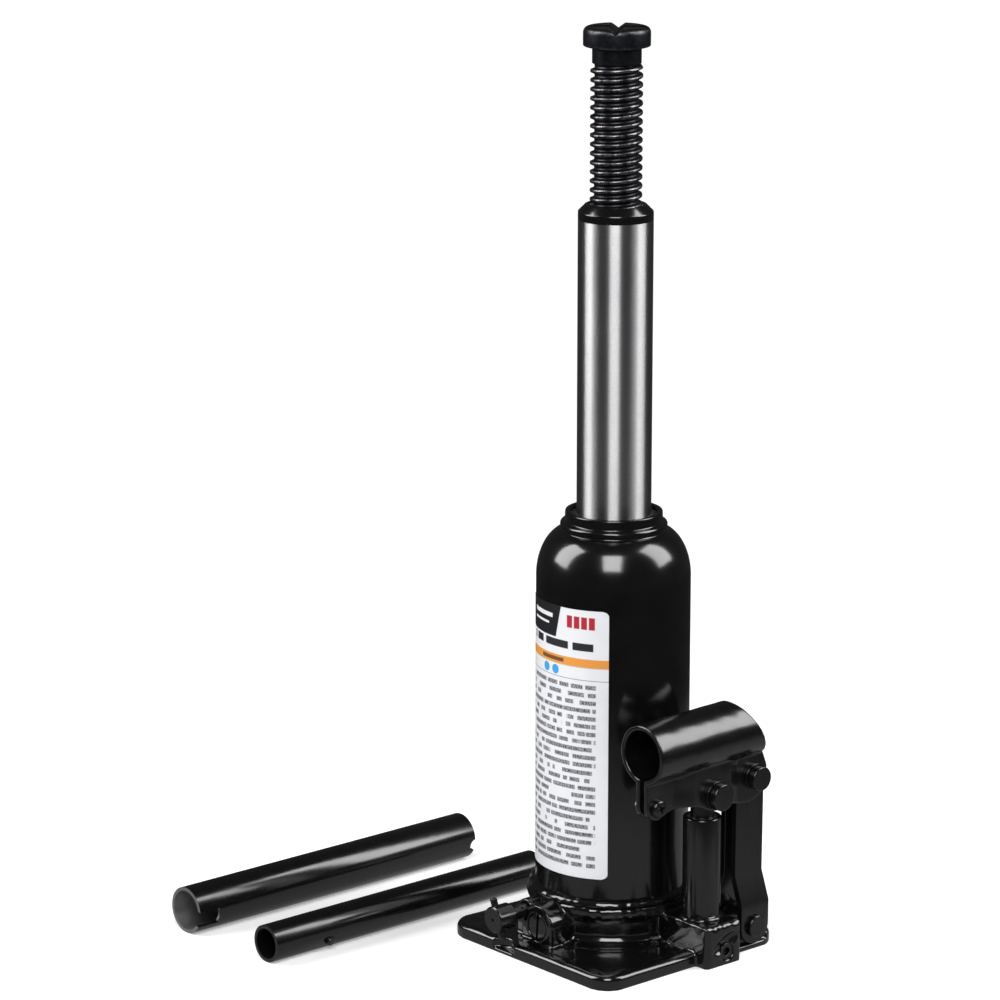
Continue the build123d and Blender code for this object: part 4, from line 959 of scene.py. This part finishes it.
# %% Pump cylinder
pump_low, pump_high = span("pump_cylinder")
pump_axis = ((pump_low.x + pump_high.x) / 2, (pump_low.y + pump_high.y) / 2)
BEAD = 1.7
pump_radius = (pump_high.x - pump_low.x) / 2 - BEAD
PUMP_BORE = 6.45
PLUNGER_HOLE = 5.1
SPIGOT = 6.4
GLAND_DEPTH = 7.0
bead_low = 18.0
section = [(PLUNGER_HOLE, pump_low.z), (SPIGOT, pump_low.z), (SPIGOT, bead_low)]
section += [(pump_radius + BEAD - 0.2, bead_low)]
section += arc((pump_radius + 0.3, bead_low + 0.1), BEAD - 0.4, 0, 80, 8)
section += [(pump_radius + 0.05, bead_low + BEAD)]
section += [(pump_radius, bead_low + BEAD + 0.3), (pump_radius, pump_high.z - 0.7)]
section += arc((pump_radius - 0.7, pump_high.z - 0.7), 0.7, 0, 90, 5)
section += [(PUMP_BORE, pump_high.z), (PUMP_BORE, pump_high.z - GLAND_DEPTH)]
section += [(PLUNGER_HOLE, pump_high.z - GLAND_DEPTH)]
pump_ripple = bead_ripple(9, pump_radius + BEAD, bead_low - 1, bead_low + BEAD + 0.2, 0.38)
pump = lathe("pump", section, 160, centre=pump_axis, ripple=pump_ripple)
stand_for(pump, "pump_barrel", gloss_enamel, "pump_cylinder")

# %% [markdown]
# ## The handle socket
# The socket is one pressed sheet: a tube for the handle, pinched into two ears below
# it that carry the pins. Pressing leaves big soft radii, so it gets the same voxel
# skin as the casting, finer and with much quieter lumps.

# %% Socket
socket_skin = skinned("handle_socket", 0.42, 2)
points, ways = points_of(socket_skin)
points += ways * (0.03 * lumps(points, 9.0, 31))[:, None]
set_points(socket_skin, kept_inside(points, "handle_socket"))
stand_for(smoothed(socket_skin, 60.0), "pressed_socket", sheet_enamel, "handle_socket")

# %% [markdown]
# ## Small hardware with rounded edges
# Links, pins, plugs and screws have the right shape already, but perfectly sharp
# edges, which no real part has and which never catch a highlight. A copy of each mesh
# has its flat facets merged and its edges rounded by a few tenths of a millimetre.

# %% Hardware
def eased(node, width, sharp=28.0, segments=2):
    """A copy of a node's mesh with its edges rounded by a width in mm."""
    made = bmesh.new()
    made.from_mesh(nodes[node].data)
    bmesh.ops.remove_doubles(made, verts=made.verts, dist=0.002 * MM)
    bmesh.ops.dissolve_limit(made, angle_limit=math.radians(0.5), verts=made.verts, edges=made.edges)
    return finished(node, rounded(made, width, sharp, segments))


EASED = {
    "link_front": 0.45,
    "link_rear": 0.45,
    "plunger_pin": 0.35,
    "upper_link_pin": 0.35,
    "lower_link_pin": 0.35,
    "pin_washers": 0.15,
    "clamp_screw": 0.15,
    "clamp_nut": 0.25,
    "release_valve": 0.25,
    "valve_cross_pin": 0.3,
    "overload_plug": 0.2,
    "pump_block_plug": 0.2,
    "handle_rivet": 0.2,
    "oil_filler_plug": 0.4,
}
for node, width in EASED.items():
    hardware = stand_for(eased(node, width), node + "_eased", FINISH_OF[slot_of[node]], node)
    hardware.modifiers.new("flat faces", "WEIGHTED_NORMAL").keep_sharp = True

# %% [markdown]
# ## The two handle tubes
# The handle comes in two lengths of tube that push together. They are sprayed outside
# only, so the bore of the large tube is bare metal. The ends are eased, and the faces
# inside are given the bare finish.

# %% Handle tubes
for node, name, radius, wall in (
    ("handle_large_tube", "large_handle_tube", 10.0, 1.5),
    ("handle_small_tube", "small_handle_tube", 8.0, 1.5),
):
    low, high = span(node)
    middle = (low + high) / 2
    tube = stand_for(eased(node, 0.3, segments=3), name, tube_enamel, node)
    if node == "handle_large_tube":
        paint_faces(
            tube.data, plain_steel,
            lambda c: math.hypot(c.y - middle.y, c.z - middle.z) < radius - wall + 0.12,
        )

# %% [markdown]
# ## Floor and light
# The floor is a pale sweep in a white room, with a little light of its own to keep the
# shadows faint. Three large soft boxes stand
# round the jack: a narrow one beside the camera and two broad ones at its sides, all
# above the jack, so that gloss shows them as patches on the shoulder and the ground
# ram as three upright bands. The room itself is dim to reflections, so black stays black.

# %% Floor
FLOOR_HALF = 0.8
floor_mesh = bmesh.new()
bmesh.ops.create_circle(floor_mesh, cap_ends=True, segments=96, radius=FLOOR_HALF)
floor = bpy.data.objects.new("floor", finished("floor", floor_mesh))
bpy.context.scene.collection.objects.link(floor)
paper = Finish("paper_sweep", roughness=0.7)
paper.set("base_color", paper.blend(paper.grain(60.0), (0.86, 0.86, 0.86), (0.90, 0.90, 0.90)))
paper.set("emission_color", (1.0, 1.0, 1.0, 1.0))
paper.set("emission_strength", 0.30)
# In reflections the floor shows a glow of its own instead of its lit shade: a painted pool of light,
# brightest at the jack and fading out by 380 mm.
away = (paper.x * paper.x + paper.y * paper.y) ** 0.5
painted_light_pool = 1 - away.above(190.0, 190.0)
glow = paper.node("ShaderNodeEmission", None, {"Strength": 0.03 + painted_light_pool * 0.30})
reflected = paper.node("ShaderNodeLightPath", out="Is Glossy Ray")
sheen = paper.node("ShaderNodeMixShader", None, {0: reflected, 1: Signal(paper.shader.outputs[0]), 2: glow})
paper.tree.links.new(sheen.socket, paper.tree.nodes["Material Output"].inputs["Surface"])
floor.data.materials.append(paper.material)
floor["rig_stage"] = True

# %% Room
room = bpy.data.worlds.new("room")
room.use_nodes = True
bpy.context.scene.world = room
air = room.node_tree.nodes["Background"]
seen = room.node_tree.nodes.new("ShaderNodeLightPath")
brightness = room.node_tree.nodes.new("ShaderNodeMapRange")
brightness.inputs["To Min"].default_value = 0.045
brightness.inputs["To Max"].default_value = 1.05
room.node_tree.links.new(seen.outputs["Is Camera Ray"], brightness.inputs["Value"])
room.node_tree.links.new(brightness.outputs["Result"], air.inputs["Strength"])
air.inputs["Color"].default_value = (1.0, 1.0, 1.0, 1.0)

# %% Soft boxes
CAMERA_BEARING = math.degrees(math.atan2(CAMERA_PLACE.y, CAMERA_PLACE.x))
LAMP_TARGET = Vector((0.0, 0.0, 0.18))
LAMP_DISTANCE = 1.5


def softbox(name, beside, elevation, width, height, power):
    """A square lamp at an angle beside the camera, in degrees, aimed at the jack."""
    turn = math.radians(CAMERA_BEARING + beside)
    rise = math.radians(elevation)
    way = Vector((math.cos(turn) * math.cos(rise), math.sin(turn) * math.cos(rise), math.sin(rise)))
    data = bpy.data.lights.new(name, "AREA")
    data.shape = "RECTANGLE"
    data.size = 2 * LAMP_DISTANCE * math.tan(math.radians(width / 2))
    data.size_y = 2 * LAMP_DISTANCE * math.tan(math.radians(height / 2))
    data.energy = power
    lamp = bpy.data.objects.new(name, data)
    bpy.context.scene.collection.objects.link(lamp)
    lamp.location = LAMP_TARGET + way * LAMP_DISTANCE
    lamp.rotation_mode = "QUATERNION"
    lamp.rotation_quaternion = (-way).to_track_quat("-Z", "Y")
    print(name, "size in m", round(data.size, 2), round(data.size_y, 2))


softbox("key_box", -2.0, 37.0, 26.0, 34.0, 17.5)
softbox("left_box", -90.0, 32.0, 29.0, 43.0, 21.5)
softbox("right_box", 90.0, 36.0, 31.0, 44.0, 22.5)

# %% [markdown]
# Both boxes, the imported one and the one of the finished looks, are printed
# side by side. The finished looks have to stay inside the imported box.

# %% Boxes and finish
shown_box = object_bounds()
for corner, shown in zip(cad_box, shown_box):
    print("packed", [round(v / MM, 2) for v in corner], "shown", [round(v / MM, 2) for v in shown])
